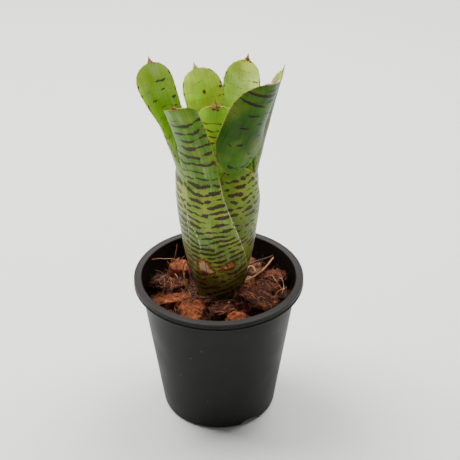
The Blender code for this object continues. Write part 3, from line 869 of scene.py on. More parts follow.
# ---------------------------------------------------------------- finishes of the rest
@dataclass(frozen=True)
class MouldedPolypropylene:
    """Black polypropylene, injection moulded: dark charcoal with a soft sheen, a fine matte grain from
    the mould, faint scuffs and pale specks, a painted highlight on the rim's flat top, and a darker inner
    wall flecked with potting grit inside the mouth."""

    name: str = "moulded_polypropylene"
    colour: str = "1b1b1a"
    shades: tuple = ("161615", "20201f")
    worn: str = "30302f"
    specks: str = "6d6a64"
    # Painted highlight: the lighter colour of the rim's flat top.
    dust: str = "383432"
    inside: str = "120f0d"
    grit: str = "4d2c1c"
    slope: float = 0.1376           # of the inner wall: radius gained for each metre of height
    inner_radius: float = 0.0399    # of the inner wall, carried down to the ground
    rim_top: float = 0.1090
    soiled_from: float = 0.086      # the inner wall is dirtiest at this height
    soiled_to: float = 0.104

    def build(self) -> bpy.types.Material:
        """Makes the material.

        Returns:
            The material, which reads Object coordinates.
        """
        made, add, shader = new_material(self.name)
        place = add("TexCoord").outputs["Object"]
        cloud = add("TexNoise", {"Vector": place, "Scale": 45.0, "Detail": 5.0})
        body = add("ValToRGB", {"Fac": cloud}, stops=((0.30, self.shades[0]), (0.55, self.colour),
                                                      (0.75, self.shades[1])))
        # Scuffs: short pale lines, nearly level, about 2.4 mm apart.
        flat = add("Mapping", {"Vector": place, "Scale": (60.0, 60.0, 420.0),
                               "Rotation": (0.15, 0.1, 0.0)})
        scuff = add("TexNoise", {"Vector": flat, "Scale": 1.0, "Detail": 4.0, "Roughness": 0.7})
        scuff = add("MapRange", (scuff, 0.66, 0.74, 0.0, 0.35))
        # Dust specks of about 0.4 mm, in one cell of fourteen; the cells are 4 mm wide.
        cell = add("TexVoronoi", {"Vector": place, "Scale": 260.0}).outputs
        lot = add("SeparateColor", {"Color": cell["Color"]})
        chosen = add("Math", (lot, 0.93), operation="GREATER_THAN")
        speck = add("MapRange", (cell["Distance"], 0.16, 0.08, 0.0, 0.55))
        speck = add("Math", (speck, chosen), operation="MULTIPLY")
        # Painted highlight: the rim's flat top is made lighter, as the overhead light falls on it.
        axis = add("SeparateXYZ", {"Vector": place}).outputs
        dusty = add("MapRange", (axis["Z"], self.rim_top - 0.0014, self.rim_top, 0.0, 0.65))
        # Inside the mouth the wall is darker, and stained by the husk in flecks of 3 mm.
        level = add("CombineXYZ", (axis["X"], axis["Y"]))
        radius = add("VectorMath", (level,), operation="LENGTH").outputs["Value"]
        cone = add("Math", (axis["Z"], self.slope, self.inner_radius), operation="MULTIPLY_ADD")
        within = add("Math", (cone, radius), operation="SUBTRACT")
        within = add("MapRange", (within, -0.0004, 0.0001))
        below = add("MapRange", (axis["Z"], self.rim_top, self.rim_top - 0.0012))
        within = add("Math", (within, below), operation="MULTIPLY")
        soil = add("TexNoise", {"Vector": place, "Scale": 320.0, "Detail": 3.0})
        low = add("MapRange", (axis["Z"], self.soiled_to, self.soiled_from, 0.76, 0.46))
        stuck = add("Math", (soil, low), operation="SUBTRACT")
        stuck = add("MapRange", (stuck, 0.0, 0.05, 0.0, 0.8))
        stuck = add("Math", (stuck, within), operation="MULTIPLY")
        for factor, colour in ((scuff, self.worn), (speck, self.specks), (dusty, self.dust),
                               (within, self.inside), (stuck, self.grit)):
            body = add("Mix", (factor, body, colour), data_type="RGBA")
        gloss = add("MapRange", (cloud, 0.3, 0.7, 0.42, 0.55))
        # The mould's grain, drawn 0.5 mm coarse so that it shows.
        grain = add("TexNoise", {"Vector": place, "Scale": 2200.0, "Detail": 2.0})
        bump = add("Bump", {"Height": grain, "Strength": 0.12, "Distance": 0.1 * MM})
        add(shader, {"Base Color": body, "Roughness": gloss, "Normal": bump, "IOR": 1.49,
                     "Specular IOR Level": 0.13})
        return made


@dataclass(frozen=True)
class CoirHusk:
    """Chopped coconut husk: dry fibres lying one way, orange to dark red-brown, rough and lustreless,
    with paler broken ends. Reads the piece's "grain" attribute, whose x runs along the fibres in mm."""

    name: str
    dark: str
    middle: str
    light: str
    tint: float = 0.0               # offset of the colour noise
    # Heights between which painted shade darkens the husk.
    dry_above: float = 0.0965
    damp_below: float = 0.0895

    def build(self) -> bpy.types.Material:
        """Makes the material.

        Returns:
            The material.
        """
        made, add, shader = new_material(self.name)
        # Bundles of fibres 0.5 mm across and 5 mm long: single ones are too fine to show.
        grain = add("Attribute", attribute_name="grain").outputs["Vector"]
        fibres = add("Mapping", {"Vector": grain, "Location": (self.tint * 7, 0, 0),
                                 "Scale": (0.22, 1.9, 1.9)})
        fibres = add("TexNoise", {"Vector": fibres, "Scale": 1.0, "Detail": 5.0, "Roughness": 0.62,
                                  "Distortion": 0.35})
        cloud = add("TexNoise", {"Vector": grain, "Scale": 0.28, "Detail": 2.0})
        blend = add("Math", (cloud, 1.1, fibres), operation="MULTIPLY_ADD")
        blend = add("Math", (blend, 0.57 - self.tint), operation="SUBTRACT")
        # Painted shade: lower down, the husk is darkened for the shade in the gaps between the chunks.
        place = add("TexCoord").outputs["Object"]
        height = add("SeparateXYZ", {"Vector": place}).outputs["Z"]
        damp = add("MapRange", (height, self.dry_above, self.damp_below, 0.0, 0.17))
        blend = add("Math", (blend, damp), operation="SUBTRACT")
        colour = add("ValToRGB", {"Fac": blend}, stops=((0.26, self.dark), (0.50, self.middle),
                                                        (0.72, self.light)))
        bump = add("Bump", {"Height": fibres, "Strength": 1.0, "Distance": 0.8 * MM})
        add(shader, {"Base Color": colour, "Normal": bump, "Roughness": 0.88, "Specular IOR Level": 0.3})
        return made


@dataclass(frozen=True)
class CoirFibre:
    """Loose coir fibre: a stiff hair with a slight shine, straw to rust, its colour drifting along it."""

    name: str
    dark: str
    light: str
    roughness: float = 0.55
    drift: float = 190.0            # one over the length of a drift, in metres: 5 mm
    from_dark: float = 0.35         # noise below which it is all dark; it is all light as far above 0.5

    def build(self) -> bpy.types.Material:
        """Makes the material.

        Returns:
            The material, which reads Object coordinates.
        """
        made, add, shader = new_material(self.name)
        place = add("TexCoord").outputs["Object"]
        drift = add("TexNoise", {"Vector": place, "Scale": self.drift, "Detail": 2.0})
        stops = ((self.from_dark, self.dark), (1 - self.from_dark, self.light))
        add(shader, {"Base Color": add("ValToRGB", {"Fac": drift}, stops=stops),
                     "Roughness": self.roughness})
        return made


@dataclass(frozen=True)
class HornySpine(CoirFibre):
    """Horn-like plant spine: hard, smooth and half glossy, straw with brown, drifting over 8 mm."""

    name: str = "horny_spine"
    dark: str = "6e3a22"
    light: str = "b59258"
    roughness: float = 0.45
    drift: float = 120.0
    from_dark: float = 0.40


# ---------------------------------------------------------------- pot, husk and stem
@dataclass
class Pot:
    """Turned nursery pot: flat rim with a skirt, bead and groove, straight wall, drained foot."""

    height: float = 0.109
    mouth_radius: float = 0.0545
    rim_width: float = 0.0055
    rim_depth: float = 0.0056
    rim_edge: float = 0.0008
    wall: float = 0.0015
    base_radius: float = 0.0410
    base_round: float = 0.0030
    foot_width: float = 0.0070
    floor_lift: float = 0.0020
    floor: float = 0.0018
    drain_radius: float = 0.0050
    notch_count: int = 3
    notch_turn: float = 33.0
    notch_width: float = 0.0160
    notch_height: float = 0.0046
    notch_reach: float = 0.0100
    steps: int = 192
    finish: MouldedPolypropylene = field(default_factory=MouldedPolypropylene)

    def wall_radius(self, z: float) -> float:
        """Outside of the wall at a height."""
        return mix(self.base_radius, self.mouth_radius + self.wall, z / self.height)

    @staticmethod
    def corner(r: float, z: float, radius: float, start: float, end: float, steps: int = 8) -> list:
        """Rounded corner.

        Args:
            r: radius of its centre from the pot's axis.
            z: height of its centre.
            radius: its own radius.
            start: angle that it starts at, in degrees from level outward.
            end: angle that it ends at.
            steps: number of steps.
        Returns:
            Its points, as (radius, height).
        """
        turns = (math.radians(mix(start, end, i / steps)) for i in range(steps + 1))
        return [(r + radius * math.cos(a), z + radius * math.sin(a)) for a in turns]

    def profile(self) -> list:
        """Closed outline of the wall, down the outside and up the inside.

        Returns:
            Its points, as (radius, height).
        """
        rim, edge, top = self.mouth_radius + self.rim_width, self.rim_edge, self.height
        low = top - self.rim_depth
        line = self.corner(self.mouth_radius + edge, top - edge, edge, 180, 90, 6)
        # The rim's flat top has a faint raised ring near its outer edge.
        line += [(mix(self.mouth_radius, rim, s), top - drop)
                 for s, drop in ((0.45, 0.0), (0.62, 0.00012), (0.74, 0.0))]
        line += self.corner(rim - edge, top - edge, edge, 90, 0)
        line += [(rim, low + 0.0029), (rim - 0.0004, low + 0.0025), (rim - 0.00045, low + 0.0019)]
        line += self.corner(rim - 0.0006, low + 0.0009, 0.0007, 55, -90)
        line += self.corner(rim - self.wall + 0.0002, low + 0.0004, 0.0002, -90, -180, 3)
        line += self.corner(rim - self.wall - 0.0008, top - self.wall - 0.0008, 0.0008, 0, 90, 4)
        under = top - self.wall - 0.0010
        line += [(self.wall_radius(under) + 0.0010, under + 0.0010), (self.wall_radius(under), under)]
        line += [(self.wall_radius(z), z) for z in (0.085, 0.060, 0.035, 0.012)]
        line += self.corner(self.wall_radius(self.base_round) - self.base_round, self.base_round,
                            self.base_round, 0, -90)
        foot = self.wall_radius(self.base_round) - self.base_round - self.foot_width
        floor = self.floor_lift + self.floor
        line += [(foot, 0.0), (foot - self.floor_lift / 2, self.floor_lift),
                 (self.drain_radius, self.floor_lift), (self.drain_radius, floor)]
        inner = floor + self.base_round
        line += self.corner(self.wall_radius(inner) - self.wall - self.base_round, inner,
                            self.base_round, -90, 0)
        line += [(self.wall_radius(z) - self.wall, z) for z in (0.030, 0.060, 0.090)]
        return line + [line[0]]

    def build(self) -> bpy.types.Object:
        """Turns the profile, cuts the drain notches and dresses the pot.

        Returns:
            The pot.
        """
        outline = self.profile()
        mesh = bpy.data.meshes.new("pot_profile")
        mesh.from_pydata([(r, 0.0, z) for r, z in outline],
                         [(i, i + 1) for i in range(len(outline) - 1)], [])
        turned = add_object("pot_profile", mesh)
        turn = turned.modifiers.new("turn", "SCREW")
        turn.steps = turn.render_steps = self.steps
        turn.use_merge_vertices = True
        turn.merge_threshold = 0.00001
        cutters = []
        for i in range(self.notch_count):
            half, shape = self.notch_width / 2, bmesh.new()
            bmesh.ops.create_cone(shape, cap_ends=True, segments=40, radius1=half, radius2=half,
                                  depth=self.notch_reach * 2)
            drum = bpy.data.meshes.new("notch")
            shape.to_mesh(drum)
            shape.free()
            lying = Matrix.Rotation(math.radians(90), 4, "X")
            drum.transform(Matrix.Diagonal((1, 1, self.notch_height / half, 1)) @ lying)
            cutter = add_object("notch", drum)
            azimuth = self.notch_turn + i * 360 / self.notch_count
            cutter.location = outward(azimuth) * self.wall_radius(0)
            cutter.rotation_euler.z = math.radians(azimuth)
            cutters.append(cutter)
            cut = turned.modifiers.new("notch", "BOOLEAN")
            cut.object, cut.operation = cutter, "DIFFERENCE"
        pot = baked(turned, "pot_body")
        for cutter in cutters:
            bpy.data.objects.remove(cutter)
        pot.data.shade_smooth()
        pot.data.set_sharp_from_angle(angle=math.radians(35))
        pot.data.materials.clear()
        pot.data.materials.append(self.finish.build())
        finished(pot, Slot.POT, "pot")
        return pot


@dataclass
class HuskBed:
    """Packed husk: an uneven surface round the plant, dark coir darkened further as painted shade of the
    gaps between the chunks, over a plain body that fills the pot.
    """

    edge_height: float = 0.0855
    rise: float = 0.0035
    planting_depth: float = 0.0210
    stem_depth: float = 0.010
    clearance: float = 0.0009       # round the plant
    wall_gap: float = 0.0006
    wall_levels: tuple = (0.075, 0.045, 0.012, 0.0044)
    turns: int = 220
    rings: int = 46
    lumps: float = 0.0017           # height of lumps of 7 mm
    crumbs: float = 0.0009          # height of crumbs of 2 mm
    sink: float = 0.0008
    # Nearly black: the coir's own dark colour, and painted shade of the gaps between the chunks.
    finish: CoirHusk = CoirHusk("packed_coir", "0a0402", "1e0d07", "4a2412", 0.02)

    def top_point(self, out: Vector, share: float, socket: float, rim: float) -> Vector:
        """Point of the uneven surface.

        Args:
            out: horizontal way from the axis.
            share: share of the way from the plant to the wall.
            socket: radius of the hole round the plant.
            rim: radius at the wall.
        Returns:
            The point.
        """
        point = (PLANT_ORIGIN + out * socket).lerp(out * rim, share)
        level = self.edge_height + self.rise * (1 - point.xy.length / rim) - self.sink
        point.z = 0.0
        rough = fractal(point, 7.0, 4) * self.lumps + abs(fractal(point, 2.2, 3)) * self.crumbs
        point.z = level + rough * smooth(min(share, 1 - share) * 12)
        return point

    def build(self, pot: Pot) -> bpy.types.Object:
        """Makes the bed between the plant and the pot's wall, as one closed body.

        Args:
            pot: the pot that it fills.
        Returns:
            The bed.
        """
        outs = [outward(j * 360 / self.turns) for j in range(self.turns)]
        socket, foot = (sheath_radius(0, z) + self.clearance for z in (self.planting_depth, 0.0))
        lowest = -self.stem_depth - self.wall_gap
        middle = PLANT_ORIGIN + UP * mix(lowest, self.planting_depth, 0.5)
        points = [PLANT_ORIGIN + UP * lowest + out * foot for out in outs]
        points += [middle + out * mix(foot, socket, 0.5) for out in outs]
        rim = pot.wall_radius(self.edge_height) - pot.wall - self.wall_gap
        points += [self.top_point(out, i / self.rings, socket, rim)
                   for i in range(self.rings + 1) for out in outs]
        points += [out * (pot.wall_radius(z) - pot.wall - self.wall_gap) + UP * z
                   for z in self.wall_levels for out in outs]
        n, last = self.turns, len(points) - self.turns
        faces = [(i + j, i + n + j, i + n + (j + 1) % n, i + (j + 1) % n)
                 for i in range(0, last, n) for j in range(n)]
        faces += [tuple(range(n)), tuple(reversed(range(last, last + n)))]
        mesh = bpy.data.meshes.new("packed_husk")
        mesh.from_pydata(points, [], faces)
        face_outward(mesh)
        mesh.shade_smooth()
        grain = np.array([v.co[:] for v in mesh.vertices]) / MM
        grain[:, 0] = grain[:, 0] * 0.9 + grain[:, 1] * 0.5
        keep_values(mesh, "grain", grain)
        mesh.materials.append(self.finish.build())
        return add_object("packed_husk", mesh)


@dataclass
class HuskChips:
    """Loose husk chunks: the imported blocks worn, lumped and frayed along their fibres."""

    count: int = 17
    cuts: int = 7
    lump: float = 0.0010
    ridge: float = 0.0007
    finishes: tuple = (
        CoirHusk("coir_orange", "220c05", "6a2e12", "9e5426", 0.02),
        CoirHusk("coir_red", "140603", "3a1408", "743216", -0.01),
        CoirHusk("coir_dark", "0c0402", "220e08", "562a14", -0.01),
        CoirHusk("coir_tan", "20100a", "543622", "8c6440", 0.01),
    )
    kinds: tuple = (0, 1, 0, 1, 1, 1, 3, 3, 2, 0, 1, 0, 2, 2, 1, 2, 2)

    def build_one(self, number: int, looks: list) -> bpy.types.Object:
        """Wears one packed block into a chunk.

        Args:
            number: the chunk's number, from 1.
            looks: the husk materials.
        Returns:
            The finished object.
        """
        node = f"husk_chip_{number:02d}"
        shape = bmesh.new()
        shape.from_mesh(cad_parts[node].data)
        bmesh.ops.remove_doubles(shape, verts=shape.verts, dist=0.00001)
        points = np.array([v.co[:] for v in shape.verts])
        centre = points.mean(0)
        axes = np.linalg.svd(points - centre, full_matrices=False)[2]
        bmesh.ops.join_triangles(shape, faces=shape.faces, angle_face_threshold=3.1,
                                 angle_shape_threshold=3.1)
        bmesh.ops.subdivide_edges(shape, edges=shape.edges[:], cuts=self.cuts, use_grid_fill=True)
        mesh = bpy.data.meshes.new(f"husk_chunk_{number:02d}")
        shape.to_mesh(mesh)
        shape.free()
        chunk = add_object(mesh.name, mesh)
        normals = [v.normal.copy() for v in mesh.vertices]
        local = (np.array([v.co[:] for v in mesh.vertices]) - centre) @ axes.T / MM
        for vert, normal, place in zip(mesh.vertices, normals, local):
            lumpy = fractal(vert.co + Vector((0, 0, number)), 5.5, 4)
            ridged, frayed = (
                noise.noise(Vector((place[0] * long, place[1] * fine, place[2] * fine + number * step)))
                for long, fine, step in ((0.18, 0.95, 9), (0.1, 2.3, 5)))
            ridges = 1.2 * abs(ridged) - 0.5 + 0.5 * frayed
            vert.co += normal * (lumpy * self.lump + ridges * self.ridge)
        mesh.shade_smooth()
        keep_values(mesh, "grain", local + number * 13.0)
        mesh.materials.clear()
        mesh.materials.append(looks[self.kinds[number - 1]])
        finished(chunk, Slot.HUSK_CHIP, node)
        return chunk

    def build(self) -> list:
        """Makes every chunk.

        Returns:
            The chunks.
        """
        looks = [finish.build() for finish in self.finishes]
        return [self.build_one(number, looks) for number in range(1, self.count + 1)]


def faces_kept(name: str, surface: bpy.types.Mesh, keep: Callable) -> bpy.types.Object:
    """Object made of some of a surface's faces.

    Args:
        name: the object's name.
        surface: the surface.
        keep: tells from a face's normal and middle whether it is kept.
    Returns:
        The object.
    """
    shape = bmesh.new()
    shape.from_mesh(surface)
    away = [f for f in shape.faces if not keep(f.normal, f.calc_center_median())]
    bmesh.ops.delete(shape, geom=away, context="FACES")
    mesh = bpy.data.meshes.new(name)
    shape.to_mesh(mesh)
    shape.free()
    return add_object(name, mesh)


@dataclass
class Litter:
    """Small loose bits on the husk, all of one kind."""

    name: str
    finish: CoirFibre | CoirHusk
    seed: int

    def lay(self, tree: bpy.types.NodeTree, start: bpy.types.Object, sizes: dict) -> bpy.types.Object:
        """Makes the bits and finishes them.

        Args:
            tree: the Geometry Nodes tree that makes them.
            start: the surface or the lines that they lie on.
            sizes: value of each of the tree's sizes, by name.
        Returns:
            The bits, as one piece.
        """
        made = run_tree(tree, start, self.name,
                        {**sizes, "Seed": self.seed, "Material": self.finish.build()})
        finished(made, Slot.HUSK_CHIP)
        return made


@dataclass
class Strands(Litter):
    """Single strands of coir, bark and dry leaf that lie on the husk or stand against the wall."""

    radius: float
    wander: float
    lines: tuple                    # points in mm

    def build(self, tree: bpy.types.NodeTree) -> None:
        """Sweeps the strands with the tree for strands."""
        start = poly_lines(self.name, [[Vector(p) * MM for p in line] for line in self.lines])
        self.lay(tree, start, {"Radius": self.radius, "Wander": self.wander}).data.shade_smooth()


@dataclass
class Crumbs(Litter):
    """Small broken bits of husk between the chunks, clear of the wall and of the plant."""

    density: float                  # for each square metre
    size: float
    least_slope: float = 0.2        # of the normal's upward part
    lowest: float = 0.078
    wall: float = 0.0485
    plant: float = 0.0195

    def build(self, tree: bpy.types.NodeTree, surface: bpy.types.Mesh) -> None:
        """Strews the crumbs over the surface's faces that look up."""
        start = faces_kept(self.name, surface, lambda normal, middle: (
            normal.z >= self.least_slope and middle.z >= self.lowest and middle.xy.length <= self.wall
            and (middle - PLANT_ORIGIN).xy.length >= self.plant))
        self.lay(tree, start, {"Density": self.density, "Size": self.size}).data.shade_smooth()


@dataclass
class StrewnFibres(Litter):
    """Short loose fibres strewn over a surface, kept inside the wall and outside the plant."""

    density: float                  # for each square metre
    length: float
    radius: float
    lift: float
    stand: float
    only_top: bool
    least_slope: float = 0.25
    lowest: float = 0.078
    wall: float = 0.0389            # radius of the wall, carried down to the ground, and its slope
    wall_slope: float = 0.1376
    plant: float = -0.0050          # the same of the plant
    plant_slope: float = 0.24

    def build(self, tree: bpy.types.NodeTree, surface: bpy.types.Mesh) -> None:
        """Strews the fibres over the surface, or over its faces that look up."""
        start = faces_kept(self.name, surface, lambda normal, middle: not self.only_top or (
            normal.z >= self.least_slope and middle.z >= self.lowest))
        self.lay(tree, start, {
            "Density": self.density, "Length": self.length, "Radius": self.radius, "Lift": self.lift,
            "Stand": self.stand, "Wall": self.wall, "Slope": self.wall_slope, "Plant": self.plant,
            "Plant Slope": self.plant_slope, "Plant Y": PLANT_ORIGIN.y})


# ---------------------------------------------------------------- the plant's own leaves
LIVE_OUTER = ((0.00, "806a34"), (0.16, "6e6428"), (0.26, "6e7a2c"), (0.44, "648628"), (0.56, "88a02e"),
              (0.66, "5e8a16"), (0.80, "4e7e0e"), (1.00, "5c8a10"))
# Painted shade: a darker copy of the ramp above, for the downward-facing back of the front-right blade
# and the right leaf set behind.
DARK_OUTER = ((0.00, "806a34"), (0.16, "6a6028"), (0.26, "6a762a"), (0.44, "5a7024"), (0.57, "768e20"),
              (0.66, "3e6c06"), (0.78, "284e04"), (1.00, "3a6604"))
BRIGHT_INNER = ((0.60, "64960c"), (0.75, "8cbc1c"), (0.92, "aed036"), (1.00, "d2e25c"))
MID_INNER = ((0.60, "5a8c10"), (0.80, "88b81e"), (1.00, "aacc38"))
SILVER_INNER = ((0.60, "70a218"), (0.75, "b0d450"), (0.92, "d4e880"), (1.00, "d4e654"))


# The third kind of mark is a painted highlight: white streaks for glints of light on a sheath.
pigment, scar, lime = (partial(Mark, kind) for kind in MarkKind)

# Name, azimuth, layer, neck, wraps to the left and right, wrap power, blade's length, lean, heading,
# facing, half widths, share at which it is full grown, taper and channel; then the finish and the marks.
LEAVES = (
    Leaf("leaf_front_left", -20, 0, 0.128, (27, 23), (128, 24), 1.30, 0.061, (10, 24), -68, -14,
         (0.0160, 0.0125), 0.40, (0.80, 0.84), (34, 52, 62),
         LeafSkin("leaf_front_left", LIVE_OUTER, MID_INNER, cover=0.62, blade_cover=0.66, centre_mm=-4.0,
                  chevron=0.34, dash_mm=6.8, spacing_mm=6.2, thickness=0.30, plain_mm=8.5, burnt_mm=0.4,
                  # The sheath's margin line is whitened here as a painted highlight along its ridge.
                  silver=0.32, yellow=0.4, margin="cdd0a0", seed=1.3,
                  dead=("5e3418", "8a5a28", "c0a060")),
         (scar(-22, 128, 5.4, 7.2, 12), scar(-14, 124.5, 4.4, 3.6, 0, 0.9),
          scar(-29, 125, 2.6, 4.4, 0, 0.8), scar(12, 127.5, 4.8, 3.0, -20, 0.66),
          scar(20, 129.5, 3.4, 4.2, 30, 0.66), scar(4, 124.5, 3.4, 1.8, 0, 0.5),
          # Painted highlights: white streaks standing in for the glints of light along the sheath's left
          # side.
          lime(-40.5, 166, 0.40, 6.5, 18), lime(-32, 157.5, 0.60, 4.5, 29),
          lime(-26, 148, 0.40, 6.5, 9), lime(-29, 154, 0.9, 1.2), lime(-36, 160, 0.7, 1.0))),
    Leaf("leaf_front_right", 26, 1, 0.136, (60, 13), (112, 13), 0.60, 0.073, (22, 18), 68, 40,
         (0.0220, 0.0160), 0.35, (0.48, 0.86), (36, 68, 66),
         # Its back has the darker ramp: painted shade on a face that looks down.
         LeafSkin("leaf_front_right", DARK_OUTER, MID_INNER, cover=0.57, blade_cover=0.32, dash_mm=5.6,
                  centre_mm=-12.0, thickness=0.34, plain_mm=4.0, burnt_mm=1.0, silver=0.04, yellow=0.15,
                  roughness=0.36, shine=0.12, blot="2c1c14", seed=4.1,
                  dead=("8a6a44", "cdb890", "e6dcc8")),
         (pigment(-3, 63, 14, 1.0, -6), pigment(-9, 56, 10, 1.0, -10), pigment(6, 67, 8, 0.8, 4),
          pigment(6, 58, 6, 0.8, 4), pigment(-5, 47, 4.5, 0.9, 5, 0.8), pigment(5, 48, 3.5, 0.8, -8, 0.8),
          pigment(-8, 36, 3.5, 0.9, 8, 0.75), pigment(2, 40, 3.5, 0.8, -6, 0.75),
          pigment(-6, 23, 3, 1.0, 10, 0.75), pigment(6, 30, 3, 0.8, -5, 0.75),
          pigment(-6, 5, 3, 0.9, -30), pigment(-1, 2.5, 3, 0.8, -8), pigment(5, 4, 3.5, 0.9, 20))),
    Leaf("leaf_left", -97, 1, 0.126, (83, 40), (58, 58), 0.90, 0.075, (11, 13.5), -99, -178,
         (0.0125, 0.0140), 0.60, (0.80, 0.76), (40, 62, 36),
         LeafSkin("leaf_left", LIVE_OUTER, MID_INNER, dash_mm=4.6, spacing_mm=6.4, chevron=0.0,
                  thickness=0.40, inner_cover=0.44, plain_mm=9.0, burnt_mm=0.5, silver=0.45, yellow=0.2,
                  dead=("8a6a44", "c4a060", "d8c490"), seed=7.9)),
    Leaf("leaf_right", 90, 2, 0.124, (68, 28), (66, 34), 0.90, 0.073, (11, 14), 95, 95,
         (0.0125, 0.0125), 0.40, (0.35, 0.35), (36, 62, 66),
         # Its back has the darker ramp: painted shade on a leaf set behind the others.
         LeafSkin("leaf_right", DARK_OUTER, MID_INNER, dash_mm=5.0, thickness=0.34, burnt_mm=2.0,
                  silver=0.08, yellow=0.2, seed=11.2)),
    Leaf("leaf_back_left", -168, 2, 0.128, (34, 30), (64, 30), 0.90, 0.055, (6, 24), -136, -160,
         (0.0152, 0.0155), 0.90, (0.66, 0.66), (34, 46, 36),
         LeafSkin("leaf_back_left", LIVE_OUTER, BRIGHT_INNER, inner_cover=0.28, burnt_mm=0.3, silver=0.15,
                  dead=("a89a4c", "c4bc6a", "d8d08c"), blot="74402a", seed=15.4),
         (pigment(-1.5, 38, 1.1, 1.5),)),
    Leaf("leaf_back_right", 143, 3, 0.128, (68, 30), (70, 30), 0.90, 0.064, (4, 12), 146, 155,
         (0.0142, 0.0148), 0.90, (0.66, 0.70), (34, 46, 36),
         LeafSkin("leaf_back_right", LIVE_OUTER, SILVER_INNER, inner_cover=0.38, burnt_mm=0.8,
                  silver=0.55, dead=("5e2e1c", "86482c", "b07a4a"), seed=19.7)),
    Leaf("leaf_centre", -3, 3, 0.130, (65, 30), (70, 30), 0.90, 0.051, (-4, -7), 0, 0,
         (0.0122, 0.0122), 0.60, (0.80, 0.80), (34, 50, 50),
         LeafSkin("leaf_centre", ((0.0, "6b8a35"), (0.7, "7fa52c"), (1.0, "8fb534")), BRIGHT_INNER,
                  bar="5a2a1c", blade_cover=0.62, dash_mm=5.0, spacing_mm=4.6, plain_mm=11.0, silver=0.05,
                  dead=("6a4426", "b08a58", "d0b484"), blot="7a3a28", seed=23.3),
         (pigment(-1, 49.5, 1.6, 1.6), pigment(1.5, 48.2, 1.0, 0.8))),
    Leaf("leaf_heart", 180, 4, 0.122, (110, 50), (110, 50), 0.90, 0.030, (0, -6), 180, 180,
         (0.0120, 0.0120), 0.60, (0.50, 0.50), (40, 55, 60),
         LeafSkin("leaf_heart", BRIGHT_INNER, BRIGHT_INNER, inner_cover=0.3, silver=0.1, seed=27.0)),
)


@dataclass
class Rosette:
    """All the leaves and the teeth along their blades' margins."""

    leaves: tuple = LEAVES
    tooth_spacing: float = 0.0042
    tooth_length: float = 0.0012
    tooth_width: float = 0.00032

    def build(self) -> None:
        """Makes the leaves, each followed by its teeth."""
        bars, teeth, horn = broken_bars(), margin_spines(), HornySpine().build()
        for number, leaf in enumerate(self.leaves):
            obj, margins, ways = leaf.build(bars)
            finished(obj, Slot.LEAF, leaf.name)
            start = poly_lines(leaf.name + "_teeth", [line + np.array(PLANT_ORIGIN) for line in margins],
                               ways)
            made = run_tree(teeth, start, leaf.name + "_teeth", {
                "Spacing": self.tooth_spacing, "Length": self.tooth_length, "Width": self.tooth_width,
                "Seed": number, "Material": horn})
            made.data.shade_smooth()
            finished(made, Slot.LEAF)


@dataclass
class Stem:
    """Short stem inside the sheaths: pale, fibrous and dull, seen only where a leaf is taken off."""

    pith: str = "b7a672"
    fibre: str = "6e5a34"

    def build(self) -> None:
        """Gives the stem's solid its finish, with upright fibres about 1 mm apart."""
        made, add, shader = new_material("stem_tissue")
        place = add("TexCoord").outputs["Object"]
        fibres = add("Mapping", {"Vector": place, "Scale": (900.0, 900.0, 60.0)})
        fibres = add("TexNoise", {"Vector": fibres, "Scale": 1.0, "Detail": 4.0})
        colour = add("ValToRGB", {"Fac": fibres}, stops=((0.35, self.fibre), (0.65, self.pith)))
        add(shader, {"Base Color": colour, "Roughness": 0.75})
        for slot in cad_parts["stem"].material_slots:
            slot.material = made
        log.info("stem: finished")


# Strands that lie loose on the husk, in mm.
STRAW_STRANDS = (
    ((-34, 34, 92), (-33, 36, 98), (-31.5, 38, 104), (-31, 39, 108.5)),
    ((-48.5, 22, 106.5), (-42, 24, 105.5), (-35, 25, 104.5), (-31, 27, 103)),
    ((25, -3, 97), (28, -9, 97.5), (31, -14, 96), (36.5, -16, 95)),
    ((38, -16, 95), (40, -11, 97.5), (43, -5, 98), (47, -1, 97)),
    ((0, -20, 93), (2, -17.5, 96.5), (5, -16.5, 98), (8, -16, 97)),
    ((33, 12, 98), (38, 9, 101), (42, 2, 99), (46, -1, 95)),
    ((-32, -14, 95), (-31, -19, 95), (-30, -23, 93)),
    ((-32, 18, 97), (-30, 11, 97.5), (-28, 5, 95)),
    ((20, -20, 96), (24, -24, 99), (31, -27, 98), (36, -27, 96)),
    ((41, 14, 96), (45, 8, 99), (46.5, 1, 98.5), (45, -6, 96)))
TAN_STRIPS = (
    ((19, 21, 97), (22, 23, 99.5), (25, 22.5, 99), (26.5, 19, 97)),
    ((20, 9, 97), (28, 14, 98.5), (34, 22, 99.5), (40, 29, 103)))
DRY_SLIVERS = (
    ((-23.6, 2, 96), (-24.4, 2, 104), (-25.0, 3, 112), (-24.6, 3, 117)),
    ((-22.8, -1, 97), (-23.8, 0, 103), (-24.4, 1, 109)))
DARK_STRIPS = (
    ((-27, -3, 95), (-19, -10, 96), (-8, -13.5, 96.5), (4, -14, 96.5), (13, -12, 95)),
    ((-22, -7, 96), (-12, -13.5, 97.5), (2, -15.5, 97), (9, -14, 96)),
    ((-18, -11, 97), (-8, -15.5, 97), (0, -17, 96)),
    ((-14, -14, 98), (-4, -14.5, 98.5), (6, -13.5, 98)),
    ((-20, -9, 98), (-13, -12.5, 98), (-6, -16, 97)),
    ((-2, -13, 98), (7, -15, 97), (14, -14, 95)),
    ((16, 24, 95), (26, 31, 98), (35, 34, 99), (40, 35, 101)),
    ((-36, 12, 96), (-30, 3, 97), (-24, -4, 95)))


